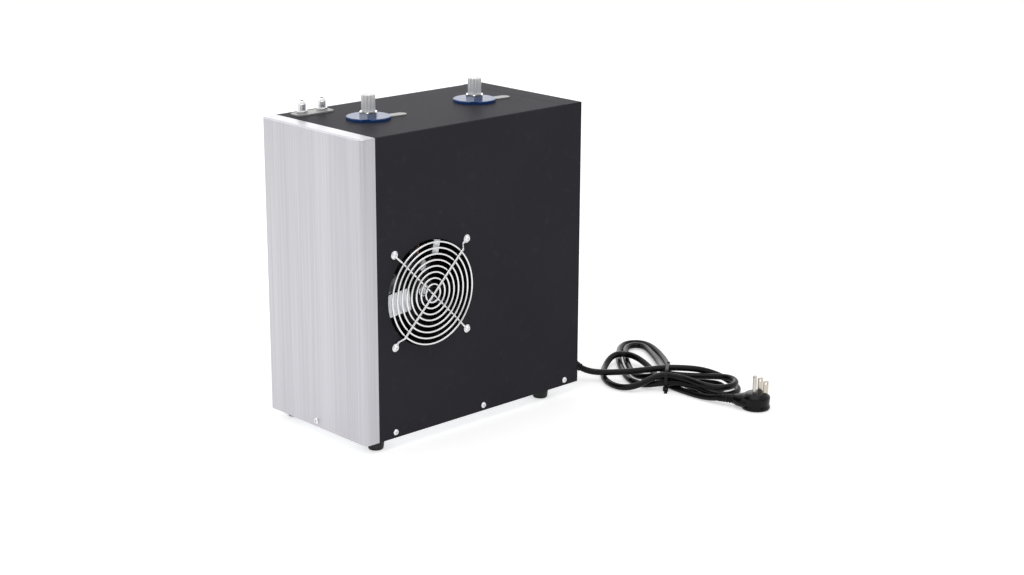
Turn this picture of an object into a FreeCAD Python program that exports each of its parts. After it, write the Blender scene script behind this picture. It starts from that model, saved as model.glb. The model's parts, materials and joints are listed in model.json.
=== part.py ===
import FreeCAD, Part
import math
import os
import Sketcher

doc = FreeCAD.newDocument("WaterChiller")
sheet = doc.addObject("Spreadsheet::Sheet", "Sizes")
V = FreeCAD.Vector


class Size:
    """A length with its value and the text that binds it to the sheet."""

    def __init__(self, value, text):
        self.value = value
        self.text = text

    def __float__(self):
        return self.value

    def __add__(self, other):
        return Size(self.value + float(other), f"({self.text} + {text_of(other)})")

    def __radd__(self, other):
        return Size(float(other) + self.value, f"({text_of(other)} + {self.text})")

    def __sub__(self, other):
        return Size(self.value - float(other), f"({self.text} - {text_of(other)})")

    def __rsub__(self, other):
        return Size(float(other) - self.value, f"({text_of(other)} - {self.text})")

    def __mul__(self, other):
        return Size(self.value * float(other), f"({self.text} * {text_of(other)})")

    __rmul__ = __mul__

    def __truediv__(self, other):
        return Size(self.value / float(other), f"({self.text} / {text_of(other)})")

    def __neg__(self):
        return Size(-self.value, f"(0 - {self.text})")


def text_of(size):
    return size.text if isinstance(size, Size) else f"{float(size):.9f}"


def cell(name, value):
    """One driving size: a row of the sheet, named in column A and aliased in column B."""
    row = cell.row = cell.row + 1
    sheet.set(f"A{row}", name.replace("_", " "))
    sheet.set(f"B{row}", str(value))
    sheet.setAlias(f"B{row}", name)
    return Size(float(value), f"Sizes.{name}")


cell.row = 0

# Cabinet
body_width = cell("body_width", 175)
body_depth = cell("body_depth", 328)
body_height = cell("body_height", 342)
sheet_wall = cell("sheet_wall", 1.0)
seam_gap = cell("seam_gap", 0.5)
fit_gap = cell("fit_gap", 0.1)
front_fold = cell("front_fold", 19)
front_bend = cell("front_bend", 5)
top_bend = cell("top_bend", 1.6)
rear_fold = cell("rear_fold", 27)
pan_rim = cell("pan_rim", 16)
rail_depth = cell("rail_depth", 30)
rear_rail_depth = cell("rear_rail_depth", 38)
rail_drop = cell("rail_drop", 14)
slot_length = cell("slot_length", 44)
slot_width = cell("slot_width", 4)
slot_pitch = cell("slot_pitch", 11)
rear_slot_rise = cell("rear_slot_rise", 44)

# Feet
foot_height = cell("foot_height", 12)
foot_radius = cell("foot_radius", 10)
foot_taper = cell("foot_taper", 1.5)
foot_round = cell("foot_round", 2)
foot_recess_radius = cell("foot_recess_radius", 4.6)
foot_recess_depth = cell("foot_recess_depth", 6)
foot_side_inset = cell("foot_side_inset", 14)
foot_front_inset = cell("foot_front_inset", 25)
foot_rear_inset = cell("foot_rear_inset", 49)

# Pan-head screws
screw_radius = cell("screw_radius", 2)
screw_length = cell("screw_length", 8)
head_radius = cell("head_radius", 3.5)
head_height = cell("head_height", 2.2)
cross_width = cell("cross_width", 0.9)
cross_depth = cell("cross_depth", 1.2)
screw_rise = cell("screw_rise", 7)
side_screw_front = cell("side_screw_front", 42)
side_screw_rear = cell("side_screw_rear", 23)
rear_screw_inset = cell("rear_screw_inset", 40)

# Fan opening and its wire guard
fan_from_front = cell("fan_from_front", 94.5)
fan_rise = cell("fan_rise", 158)
fan_hole_radius = cell("fan_hole_radius", 60.5)
guard_pitch = cell("guard_pitch", 105)
guard_ring_radius = cell("guard_ring_radius", 58)
guard_ring_pitch = cell("guard_ring_pitch", 6.8)
guard_wire_radius = cell("guard_wire_radius", 1.1)
guard_stay_radius = cell("guard_stay_radius", 1.3)
guard_weld = cell("guard_weld", 0.3)
guard_stand_off = cell("guard_stand_off", 0.9)
eye_radius = cell("eye_radius", 4.6)
eye_height = cell("eye_height", 2.0)
clip_side = cell("clip_side", 9)
clip_height = cell("clip_height", 3)

# Fan
shroud_radius = cell("shroud_radius", 62)
shroud_length = cell("shroud_length", 36)
shroud_flange = cell("shroud_flange", 3.5)
blade_tip_radius = cell("blade_tip_radius", 54)
blade_depth = cell("blade_depth", 20)
blade_sheet = cell("blade_sheet", 1.4)
blade_from_side = cell("blade_from_side", 12)
hub_radius = cell("hub_radius", 17)
shaft_radius = cell("shaft_radius", 3)
run_gap = cell("run_gap", 0.05)
bearing_radius = cell("bearing_radius", 6)
bearing_length = cell("bearing_length", 8)
stator_side = cell("stator_side", 54)
stator_depth = cell("stator_depth", 20)
stator_round = cell("stator_round", 6)
rotor_radius = cell("rotor_radius", 13)
rotor_gap = cell("rotor_gap", 0.5)
bell_radius = cell("bell_radius", 22)
bell_depth = cell("bell_depth", 13)
bell_front_depth = cell("bell_front_depth", 5)
bell_wall = cell("bell_wall", 2)
bracket_arm_width = cell("bracket_arm_width", 9)
bracket_arm_wide = cell("bracket_arm_wide", 26)
hook_gap = cell("hook_gap", 2)
hook_tab = cell("hook_tab", 15)
hook_tab_wide = cell("hook_tab_wide", 32)
bracket_sheet = cell("bracket_sheet", 1.5)
bracket_rim = cell("bracket_rim", 6)
motor_from_blade = cell("motor_from_blade", 5)

# Condenser
fin_depth = cell("fin_depth", 30)
fin_height = cell("fin_height", 130)
fin_sheet = cell("fin_sheet", 0.6)
fin_pitch = cell("fin_pitch", 7)
fin_from_left = cell("fin_from_left", 24)
coil_tube_radius = cell("coil_tube_radius", 4)
coil_tube_bore = cell("coil_tube_bore", 3.2)
coil_pass_pitch = cell("coil_pass_pitch", 22)
coil_bend_gap = cell("coil_bend_gap", 3)
coil_tail = cell("coil_tail", 8)
fin_edge_gap = cell("fin_edge_gap", 3)
end_plate_sheet = cell("end_plate_sheet", 1.2)
end_plate_foot = cell("end_plate_foot", 12)

# Ports on the top
port_from_front = cell("port_from_front", 80)
port_pitch = cell("port_pitch", 158)
port_offset = cell("port_offset", 2)
stub_radius = cell("stub_radius", 6.2)
stub_bore = cell("stub_bore", 4.2)
stub_rise = cell("stub_rise", 20)
disc_radius = cell("disc_radius", 25)
disc_height = cell("disc_height", 3.6)
disc_round = cell("disc_round", 1.2)
disc_recess_radius = cell("disc_recess_radius", 21)
disc_notch_radius = cell("disc_notch_radius", 9)
disc_notch_depth = cell("disc_notch_depth", 2)
tab_width = cell("tab_width", 13)
tab_sheet = cell("tab_sheet", 1.0)
tab_reach = cell("tab_reach", 43)
tab_ring_radius = cell("tab_ring_radius", 12)
nut_flats = cell("nut_flats", 19)
nut_height = cell("nut_height", 5)
nut_chamfer = cell("nut_chamfer", 0.6)
cap_wall = cell("cap_wall", 1.0)
cap_height = cell("cap_height", 19)
cap_round = cell("cap_round", 1.2)
cap_rib_height = cell("cap_rib_height", 0.55)
cap_rib_width = cell("cap_rib_width", 1.3)

# Service fittings on the top left
service_from_front = cell("service_from_front", 41)
service_pitch = cell("service_pitch", 28)
service_offset = cell("service_offset", 67)
service_radius = cell("service_radius", 4.75)
service_bore = cell("service_bore", 1.6)
service_flats = cell("service_flats", 11)
service_base = cell("service_base", 3.5)
service_thread = cell("service_thread", 7.5)
service_cone = cell("service_cone", 3)
service_lip = cell("service_lip", 1.2)
service_shank = cell("service_shank", 12)
service_nut = cell("service_nut", 4)
service_nut_flats = cell("service_nut_flats", 13)
plate_width = cell("plate_width", 20)
plate_length = cell("plate_length", 52)
plate_sheet = cell("plate_sheet", 1.4)
plate_corner = cell("plate_corner", 7)

# Tank, evaporator and foam
tank_radius = cell("tank_radius", 40)
tank_length = cell("tank_length", 222)
tank_wall = cell("tank_wall", 1.2)
tank_round = cell("tank_round", 6)
tank_drop = cell("tank_drop", 61)
evaporator_gap = cell("evaporator_gap", 0.3)
evaporator_open = cell("evaporator_open", 42)
foam_width = cell("foam_width", 120)
foam_length = cell("foam_length", 276)
foam_height = cell("foam_height", 112)
foam_cavity = cell("foam_cavity", 51.5)
foam_from_top = cell("foam_from_top", 4)
tank_seat_gap = cell("tank_seat_gap", 0.3)
strap_width = cell("strap_width", 16)
strap_sheet = cell("strap_sheet", 0.8)
strap_pitch = cell("strap_pitch", 120)
bulb_radius = cell("bulb_radius", 3)
bulb_drop = cell("bulb_drop", 10)
bulb_stand_out = cell("bulb_stand_out", 6)
seal_height = cell("seal_height", 2)
collar_radius = cell("collar_radius", 9.5)
collar_height = cell("collar_height", 1.8)

# Compressor
shell_radius = cell("shell_radius", 54)
shell_height = cell("shell_height", 146)
shell_from_rear = cell("shell_from_rear", 82)
shell_round = cell("shell_round", 20)
shell_stub = cell("shell_stub", 14)
weld_rim = cell("weld_rim", 3)
weld_rise = cell("weld_rise", 82)
mount_plate_length = cell("mount_plate_length", 146)
mount_plate_width = cell("mount_plate_width", 92)
mount_plate_sheet = cell("mount_plate_sheet", 3)
mount_pitch_long = cell("mount_pitch_long", 126)
mount_pitch_short = cell("mount_pitch_short", 70)
grommet_radius = cell("grommet_radius", 9)
grommet_height = cell("grommet_height", 14)
line_radius = cell("line_radius", 3.2)
drier_radius = cell("drier_radius", 9)
drier_length = cell("drier_length", 54)
drier_taper = cell("drier_taper", 8)
drier_from_coil = cell("drier_from_coil", 22)
drier_rise = cell("drier_rise", 14)
capillary_radius = cell("capillary_radius", 1.2)
service_line_radius = cell("service_line_radius", 2.2)
bolt_head = cell("bolt_head", 3)
bolt_flats = cell("bolt_flats", 8)

# Electrical parts
relay_width = cell("relay_width", 34)
relay_height = cell("relay_height", 46)
relay_depth = cell("relay_depth", 20)
relay_rise = cell("relay_rise", 45)
relay_round = cell("relay_round", 3)
thermostat_width = cell("thermostat_width", 34)
thermostat_height = cell("thermostat_height", 26)
thermostat_length = cell("thermostat_length", 44)
thermostat_rise = cell("thermostat_rise", 138)
thermostat_from_right = cell("thermostat_from_right", 3)
terminal_length = cell("terminal_length", 48)
terminal_width = cell("terminal_width", 20)
terminal_height = cell("terminal_height", 16)
terminal_well = cell("terminal_well", 5)
terminal_from_rear = cell("terminal_from_rear", 128)
terminal_from_right = cell("terminal_from_right", 5)
loom_radius = cell("loom_radius", 2.5)

# Mains cord
cord_radius = cell("cord_radius", 3.85)
cord_from_right = cell("cord_from_right", 27.5)
cord_rise = cell("cord_rise", 18)
gland_radius = cell("gland_radius", 8)
gland_flange = cell("gland_flange", 11)
gland_length = cell("gland_length", 9)
gland_sheet = cell("gland_sheet", 2)
tie_width = cell("tie_width", 3.6)
tie_sheet = cell("tie_sheet", 1.3)
tie_reach = cell("tie_reach", 18)
loop_height = cell("loop_height", 7.7)
bundle_height = cell("bundle_height", 20)
plug_radius = cell("plug_radius", 17)
plug_height = cell("plug_height", 21)
plug_neck_radius = cell("plug_neck_radius", 6.5)
plug_round = cell("plug_round", 3)
relief_radius = cell("relief_radius", 5.2)
blade_gap = cell("blade_gap", 12.7)
blade_width = cell("blade_width", 6.35)
blade_thick = cell("blade_thick", 1.5)
blade_height = cell("blade_height", 17)
earth_radius = cell("earth_radius", 2.4)
earth_height = cell("earth_height", 20.5)
earth_offset = cell("earth_offset", 11.9)


# Counts, and turns in degrees
X_AXIS = V(1, 0, 0)
Y_AXIS = V(0, 1, 0)
Z_AXIS = V(0, 0, 1)
GUARD_RINGS = 8
FAN_BLADES = 5
COIL_PASSES = 6
EVAPORATOR_TURNS = 8
COVER_SLOT_ROWS = 10
REAR_SLOT_ROWS = 8
CAP_RIBS = 24
TAB_ANGLE = 84
NOTCH_ANGLE = -43
NUT_ANGLE = 15
BLADE_ANGLE = 52
BLADE_PITCH = 58
TIE_ANGLE = 37.7
PIN_ANGLE = 70

# Places that the pieces share. X runs across, the front face is at -Y, and the floor is at Z 0
ring_lift = guard_stand_off + 2 * guard_stay_radius + guard_wire_radius - guard_weld
guard_reach = ring_lift + guard_wire_radius + 2 * guard_stay_radius - guard_weld
mid_x = (head_height - guard_reach) / 2
right = mid_x + body_width / 2
left = mid_x - body_width / 2
front = -body_depth / 2
rear = body_depth / 2
base = foot_height
top = foot_height + body_height
inner_top = top - sheet_wall
pan_half_width = body_width / 2 - sheet_wall - fit_gap
pan_front = front + sheet_wall + fit_gap
pan_rear = rear - sheet_wall - fit_gap
pan_floor = base + sheet_wall
fan_y = front + fan_from_front
fan_z = base + fan_rise
port_x = mid_x + port_offset
port_ys = (front + port_from_front, front + port_from_front + port_pitch)
service_x = mid_x - service_offset
service_ys = (front + service_from_front, front + service_from_front + service_pitch)
side_screw_pitch = (body_depth - side_screw_front - side_screw_rear) / 2
side_screw_ys = tuple(front + side_screw_front + side_screw_pitch * i for i in range(3))
screw_z = base + screw_rise
cord_x = right - cord_from_right
cord_z = base + cord_rise
CORNERS = ((-1, -1), (1, -1), (-1, 1), (1, 1))
guard_spots = [(fan_y + a * guard_pitch / 2, fan_z + b * guard_pitch / 2) for a, b in CORNERS]
blade_right = right - blade_from_side
blade_left = blade_right - blade_depth
bracket_right = blade_left - motor_from_blade
bracket_left = bracket_right - bracket_sheet
stator_left = bracket_left - stator_depth
shroud_right = right - sheet_wall
end_plate_y = shroud_radius + 1
fin_left = left + fin_from_left
coil_x = fin_left + fin_depth / 2
coil_end = end_plate_y + end_plate_sheet + coil_bend_gap
foam_top = inner_top - foam_from_top
foam_bottom = foam_top - foam_height
tank_z = top - tank_drop
tank_y = port_ys[0] + port_pitch / 2
foam_left = port_x - foam_width / 2
foam_right = port_x + foam_width / 2
foam_front = tank_y - foam_length / 2
foam_back = tank_y + foam_length / 2
cavity_reach = port_pitch / 2 + port_pitch / 12 + coil_tube_radius + 2
evaporator_radius = tank_radius + coil_tube_radius + evaporator_gap
evaporator_pitch = port_pitch / 6
evaporator_ys = [port_ys[0] + evaporator_pitch * (i - 0.5) for i in range(EVAPORATOR_TURNS)]
plate_top = pan_floor + grommet_height + mount_plate_sheet
compressor_x = port_x - 10
compressor_y = rear - shell_from_rear
compressor_mounts = [
    (compressor_x + a * mount_pitch_short / 2, compressor_y + b * mount_pitch_long / 2) for a, b in CORNERS
]
stub_top = plate_top + shell_height + shell_stub
suction_stub = (compressor_x + 20.5, compressor_y - 20)
discharge_stub = (compressor_x - 19, compressor_y - 20)
low_service_stub = (compressor_x - 24, compressor_y + 13)
high_service_stub = (compressor_x + 6, compressor_y + 26)
drier_y = fan_y + coil_end + coil_tail + drier_from_coil
relay_y = compressor_y
relay_z = pan_floor + relay_rise
thermostat_x = right - sheet_wall - thermostat_from_right - thermostat_width
thermostat_z = base + thermostat_rise
terminal_x = right - terminal_from_right - terminal_width
terminal_y = rear - terminal_from_rear
disc_top = top + disc_height
nut_top = disc_top + nut_height
cap_bottom = nut_top + fit_gap * 2


def bind(thing, name, size):
    if isinstance(size, Size):
        thing.setExpression(name, size.text)
    else:
        setattr(thing, name, float(size))


def place(thing, x=0, y=0, z=0, turn=None):
    """Puts a piece at a place whose parts stay tied to the sheet."""
    thing.Placement = FreeCAD.Placement(V(float(x), float(y), float(z)), turn or FreeCAD.Rotation())
    for axis, size in (("x", x), ("y", y), ("z", z)):
        if isinstance(size, Size):
            thing.setExpression(f"Placement.Base.{axis}", size.text)
    return thing


def towards(direction):
    """The turn that lays a piece built along Z along another direction."""
    return FreeCAD.Rotation(Z_AXIS, direction)


def block(name, corner, size):
    made = doc.addObject("Part::Box", name)
    for side, value in zip(("Length", "Width", "Height"), size):
        bind(made, side, value)
    return place(made, *corner)


def between(name, low, high):
    """A block from its low corner to its high corner."""
    return block(name, low, tuple(b - a for a, b in zip(low, high)))


def rod(name, centre, radius, length, direction=Z_AXIS):
    made = doc.addObject("Part::Cylinder", name)
    bind(made, "Radius", radius)
    bind(made, "Height", length)
    return place(made, *centre, towards(direction))


def cone(name, centre, low_radius, high_radius, length, direction=Z_AXIS):
    made = doc.addObject("Part::Cone", name)
    bind(made, "Radius1", low_radius)
    bind(made, "Radius2", high_radius)
    bind(made, "Height", length)
    return place(made, *centre, towards(direction))


def ball(name, centre, radius):
    made = doc.addObject("Part::Sphere", name)
    bind(made, "Radius", radius)
    return place(made, *centre)


def ring(name, centre, radius, wire, direction=Z_AXIS):
    made = doc.addObject("Part::Torus", name)
    bind(made, "Radius1", radius)
    bind(made, "Radius2", wire)
    return place(made, *centre, towards(direction))


def prism(name, centre, sides, radius, height, turn=None):
    made = doc.addObject("Part::Prism", name)
    made.Polygon = sides
    bind(made, "Circumradius", radius)
    bind(made, "Height", height)
    return place(made, *centre, turn)


def cut(name, whole, tools):
    made = doc.addObject("Part::Cut", name)
    made.Base = whole
    made.Tool = tools[0] if len(tools) == 1 else group(name + "Tools", tools)
    return made


def fuse(name, pieces):
    made = doc.addObject("Part::MultiFuse", name)
    made.Shapes = pieces
    return made


def group(name, pieces):
    made = doc.addObject("Part::Compound", name)
    made.Links = pieces
    return made


def shaped(name, shape):
    """A piece whose form is worked out here from the sheet's sizes."""
    made = doc.addObject("Part::Feature", name)
    made.Shape = shape
    return made


def rounded(name, whole, radius, chosen):
    """Fillets the edges of a piece that a test chooses."""
    doc.recompute()
    made = doc.addObject("Part::Fillet", name)
    made.Base = whole
    numbers = [i + 1 for i, edge in enumerate(whole.Shape.Edges) if chosen(edge)]
    made.Edges = [(number, float(radius), float(radius)) for number in numbers]
    return made


def origin_plane(body, role):
    return next(item for item in body.Origin.OriginFeatures if item.Role == role)


def new_body(name):
    return doc.addObject("PartDesign::Body", name)


def sketch_on(body, role, name):
    made = body.newObject("Sketcher::SketchObject", name)
    made.AttachmentSupport = [(origin_plane(body, role), "")]
    made.MapMode = "FlatFace"
    return made


def fix_point(sketch, geometry, end, across, up):
    """Ties one point of a sketch to two sizes, measured from the origin."""
    for kind, axis, size in (("DistanceX", -2, across), ("DistanceY", -1, up)):
        if abs(float(size)) < 1e-9:
            sketch.addConstraint(Sketcher.Constraint("PointOnObject", geometry, end, axis))
            continue
        number = sketch.addConstraint(
            Sketcher.Constraint(kind, -1, 1, geometry, end, float(size))
        )
        if isinstance(size, Size):
            sketch.setExpression(f"Constraints[{number}]", size.text)


def polygon(sketch, points):
    """Draws a closed outline through points, each tied to its two sizes."""
    spots = [V(float(x), float(y), 0) for x, y in points]
    first = sketch.GeometryCount
    count = len(spots)
    for i, spot in enumerate(spots):
        sketch.addGeometry(Part.LineSegment(spot, spots[(i + 1) % count]), False)
    for i in range(count):
        following = first + (i + 1) % count
        sketch.addConstraint(Sketcher.Constraint("Coincident", first + i, 2, following, 1))
    for i, (x, y) in enumerate(points):
        fix_point(sketch, first + i, 1, x, y)


def rectangle(sketch, low_x, low_y, high_x, high_y):
    polygon(sketch, [(low_x, low_y), (high_x, low_y), (high_x, high_y), (low_x, high_y)])


def circle(sketch, x, y, radius):
    number = sketch.addGeometry(Part.Circle(V(float(x), float(y), 0), Z_AXIS, float(radius)), False)
    constraint = sketch.addConstraint(Sketcher.Constraint("Radius", number, float(radius)))
    if isinstance(radius, Size):
        sketch.setExpression(f"Constraints[{constraint}]", radius.text)
    fix_point(sketch, number, 3, x, y)


def pad(body, sketch, length, name, backwards=False):
    made = body.newObject("PartDesign::Pad", name)
    made.Profile = sketch
    bind(made, "Length", length)
    made.Reversed = backwards
    return made


def pocket(body, sketch, length, name, backwards=False):
    made = body.newObject("PartDesign::Pocket", name)
    made.Profile = sketch
    bind(made, "Length", length)
    made.Reversed = backwards
    return made


def turned(body, sketch, name):
    """Turns a half section about the sketch's upright axis."""
    made = body.newObject("PartDesign::Revolution", name)
    made.Profile = sketch
    made.ReferenceAxis = (sketch, ["V_Axis"])
    made.Angle = 360
    return made


def softened(body, feature, radius, name, chosen):
    """Rounds the edges of a body's last feature that a test chooses."""
    doc.recompute()
    names = [f"Edge{i + 1}" for i, edge in enumerate(feature.Shape.Edges) if chosen(edge)]
    made = body.newObject("PartDesign::Fillet", name)
    made.Base = (feature, names)
    bind(made, "Radius", radius)
    return made


def is_upright(edge):
    ends = [vertex.Point for vertex in edge.Vertexes]
    if len(ends) != 2:
        return False
    return (ends[1] - ends[0]).cross(Z_AXIS).Length < 1e-6


def runs_along(edge, axis):
    ends = [vertex.Point for vertex in edge.Vertexes]
    if len(ends) != 2:
        return False
    return (ends[1] - ends[0]).cross(axis).Length < 1e-6


def at_height(edge, z):
    return all(abs(vertex.Point.z - float(z)) < 1e-6 for vertex in edge.Vertexes)


def route_wire(points, share=0.45, limit=None):
    """Straight runs joined by tangent arcs, each as large as its two runs allow, or as the limit."""
    spots = [V(*(float(c) for c in point)) for point in points]
    edges = []
    radii = []
    start = spots[0]
    for before, corner, after in zip(spots, spots[1:], spots[2:]):
        to_before = (before - corner).normalize()
        to_after = (after - corner).normalize()
        half_turn = (math.pi - to_before.getAngle(to_after)) / 2
        reach = share * min((before - corner).Length, (after - corner).Length)
        radius = reach / math.tan(half_turn)
        if limit is not None and radius > limit:
            radius = float(limit)
            reach = radius * math.tan(half_turn)
        enter = corner + to_before * reach
        leave = corner + to_after * reach
        inward = (to_before + to_after).normalize()
        centre = corner + inward * (radius / math.cos(half_turn))
        middle = centre - inward * radius
        edges.append(Part.LineSegment(start, enter).toShape())
        edges.append(Part.Arc(enter, middle, leave).toShape())
        radii.append(radius)
        start = leave
    edges.append(Part.LineSegment(start, spots[-1]).toShape())
    return Part.Wire(edges), radii


def pipe_along(wire, radius, bore=0):
    """A round tube, or a round bar without a bore, swept along a wire."""
    first = wire.Edges[0]
    start = first.valueAt(first.FirstParameter)
    along = first.tangentAt(first.FirstParameter)
    solids = []
    for size in (radius, bore):
        if float(size) <= 0:
            continue
        section = Part.Wire(Part.Circle(start, along, float(size)).toShape())
        solids.append(wire.makePipeShell([section], True, False))
    return solids[0] if len(solids) == 1 else solids[0].cut(solids[1])


def line_piece(name, points, radius, limit=None):
    """A rigid pipe or lead along a route of its own."""
    wire, _ = route_wire(points, 0.45, limit)
    return shaped(name, pipe_along(wire, radius))


def screw_form():
    """One pan-head screw, head up at the origin, with a cross recess."""
    body = new_body("ScrewForm")
    section = sketch_on(body, "XZ_Plane", "ScrewSection")
    slope = head_radius * 0.8
    polygon(section, [
        (0, -screw_length), (screw_radius, -screw_length), (screw_radius, 0), (head_radius, 0),
        (head_radius, head_height * 0.55), (slope, head_height * 0.92), (0, head_height),
    ])
    turned(body, section, "ScrewTurned")
    recess = sketch_on(body, "XY_Plane", "ScrewRecess")
    long = head_radius * 0.55
    half = cross_width / 2
    polygon(recess, [
        (long, -half), (long, half), (half, half), (half, long), (-half, long), (-half, half),
        (-long, half), (-long, -half), (-half, -half), (-half, -long), (half, -long), (half, -half),
    ])
    tool = body.newObject("PartDesign::Pocket", "ScrewCross")
    tool.Profile = recess
    tool.Reversed = True
    bind(tool, "Length", head_height)
    recess.setExpression("AttachmentOffset.Base.z", (head_height - cross_depth).text)
    return body


screw = screw_form()
doc.recompute()


def screw_group(name, spots):
    """Copies of the screw at their places, heads facing along each direction."""
    copies = []
    for x, y, z, direction in spots:
        copy = screw.Shape.copy()
        copy.Placement = FreeCAD.Placement(V(float(x), float(y), float(z)), towards(direction))
        copies.append(copy)
    return shaped(name, Part.makeCompound(copies))


def screw_holes(name, spots, radius, depth):
    """The holes for a group of screws, from just outside their faces inwards."""
    start = head_height
    holes = []
    for i, (x, y, z, direction) in enumerate(spots):
        outside = (x + start * direction.x, y + start * direction.y, z + start * direction.z)
        holes.append(rod(f"{name}{i}", outside, radius, depth + start, -direction))
    return holes


side_screws = [(right, y, screw_z, X_AXIS) for y in side_screw_ys]
side_screws += [(left, y, screw_z, -X_AXIS) for y in side_screw_ys]
front_screws = [(mid_x, front, screw_z, -Y_AXIS)]
rear_screws = [
    (mid_x + side * (body_width / 2 - rear_screw_inset), rear, z, Y_AXIS)
    for side in (-1, 1)
    for z in (screw_z, top - rail_drop / 2 - sheet_wall)
]
low_rear_screws = [spot for spot in rear_screws if spot[2] is screw_z]
feet_places = [
    (mid_x + side * (body_width / 2 - foot_side_inset), y)
    for side in (-1, 1)
    for y in (front + foot_front_inset, rear - foot_rear_inset)
]
clearance = screw_radius + 2 * fit_gap
snug = screw_radius + fit_gap / 2
port_hole = stub_radius + 2 * fit_gap
service_hole = service_radius + 2 * fit_gap
tube_hole = coil_tube_radius + fit_gap / 2


def make_front_panel():
    """The bright front: one sheet folded back at both sides and along the top."""
    body = new_body("FrontPanel")
    half = body_width / 2
    inner = half - sheet_wall
    face = sketch_on(body, "XZ_Plane", "FrontFace")
    rectangle(face, -half, 0, half, body_height)
    pad(body, face, front_fold, "FrontBlock", backwards=True)
    hollow = sketch_on(body, "XZ_Plane", "FrontHollow")
    hollow.setExpression("AttachmentOffset.Base.z", (-front_fold).text)
    rectangle(hollow, -inner, -sheet_wall, inner, body_height - sheet_wall)
    tray = pocket(body, hollow, front_fold - sheet_wall, "FrontInside", backwards=True)

    def is_inner_bend(edge):
        spot = edge.Vertexes[0].Point
        return is_upright(edge) and abs(abs(spot.x) - float(inner)) < 1e-6 and spot.y < front_bend.value

    def is_outer_bend(edge):
        return is_upright(edge) and edge.Vertexes[0].Point.y < 1e-6

    def is_top_bend(edge):
        spots = [vertex.Point for vertex in edge.Vertexes]
        return at_height(edge, body_height) and max(spot.y for spot in spots) < 1e-6

    bent = softened(body, tray, front_bend - sheet_wall, "FrontInnerBends", is_inner_bend)
    bent = softened(body, bent, front_bend, "FrontOuterBends", is_outer_bend)
    softened(body, bent, top_bend, "FrontTopBend", is_top_bend)
    hole = sketch_on(body, "XZ_Plane", "FrontScrewHole")
    circle(hole, 0, screw_rise, clearance)
    pocket(body, hole, sheet_wall * 2, "FrontHole")
    return place(body, mid_x, front, base)


def make_cabinet_cover():
    """The black cover: one sheet over the top and down both sides, open at front, back and bottom."""
    outer = between(
        "CoverOuter", (left, front + front_fold + seam_gap, base), (right, rear - sheet_wall - seam_gap, top)
    )
    inner = between(
        "CoverInner",
        (left + sheet_wall, front + front_fold, base - 1),
        (right - sheet_wall, rear, inner_top),
    )
    bent = rounded(
        "CoverBent", outer, top_bend, lambda e: runs_along(e, Y_AXIS) and at_height(e, top)
    )
    shell = cut("CoverShell", bent, [inner])
    tools = [
        between(
            "CoverRearNotch",
            (left - 1, rear - rear_fold - seam_gap, inner_top),
            (right + 1, rear + 1, top + 1),
        ),
        rod("CoverFanHole", (right - sheet_wall * 2, fan_y, fan_z), fan_hole_radius, sheet_wall * 4, X_AXIS),
    ]
    tools += [
        rod(f"CoverPortHole{i}", (port_x, y, inner_top - 1), port_hole, sheet_wall + 2)
        for i, y in enumerate(port_ys)
    ]
    tools += [
        rod(f"CoverServiceHole{i}", (service_x, y, inner_top - 1), service_hole, sheet_wall + 2)
        for i, y in enumerate(service_ys)
    ]
    tools += screw_holes("CoverScrewHole", side_screws, clearance, sheet_wall + 1)
    tools += [
        rod(f"CoverGuardHole{i}", (right - sheet_wall - 1, y, z), clearance, sheet_wall + 2, X_AXIS)
        for i, (y, z) in enumerate(guard_spots)
    ]
    for row in range(COVER_SLOT_ROWS):
        for column in (-1, 1):
            low_y = fan_y + column * (slot_length / 2 + slot_width) - slot_length / 2
            low_z = fan_z + (row - (COVER_SLOT_ROWS - 1) / 2) * slot_pitch - slot_width / 2
            tools.append(between(
                f"CoverSlot{row}{column + 1}",
                (left - 1, low_y, low_z),
                (left + sheet_wall + 1, low_y + slot_length, low_z + slot_width),
            ))
    return cut("CabinetCover", shell, tools)


def make_rear_panel():
    """The back: one sheet with its top folded forwards into the cover's notch."""
    plate = between("RearPlate", (left, rear - sheet_wall, base), (right, rear, top))
    fold = between("RearFold", (left, rear - rear_fold, inner_top), (right, rear, top))
    whole = fuse("RearWhole", [plate, fold])
    tools = screw_holes("RearScrewHole", rear_screws, clearance, sheet_wall + 1)
    hole_start = (cord_x, rear - sheet_wall * 2, cord_z)
    tools.append(rod("RearCordHole", hole_start, gland_radius + fit_gap, sheet_wall * 4, Y_AXIS))
    for row in range(REAR_SLOT_ROWS):
        low_z = base + pan_rim + rear_slot_rise + row * slot_pitch
        for column in (-1, 1):
            low_x = mid_x + column * (slot_length / 2 + slot_width) - slot_length / 2
            tools.append(between(
                f"RearSlot{row}{column + 1}",
                (low_x, rear - sheet_wall - 1, low_z),
                (low_x + slot_length, rear + 1, low_z + slot_width),
            ))
    return cut("RearPanel", whole, tools)


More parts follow.
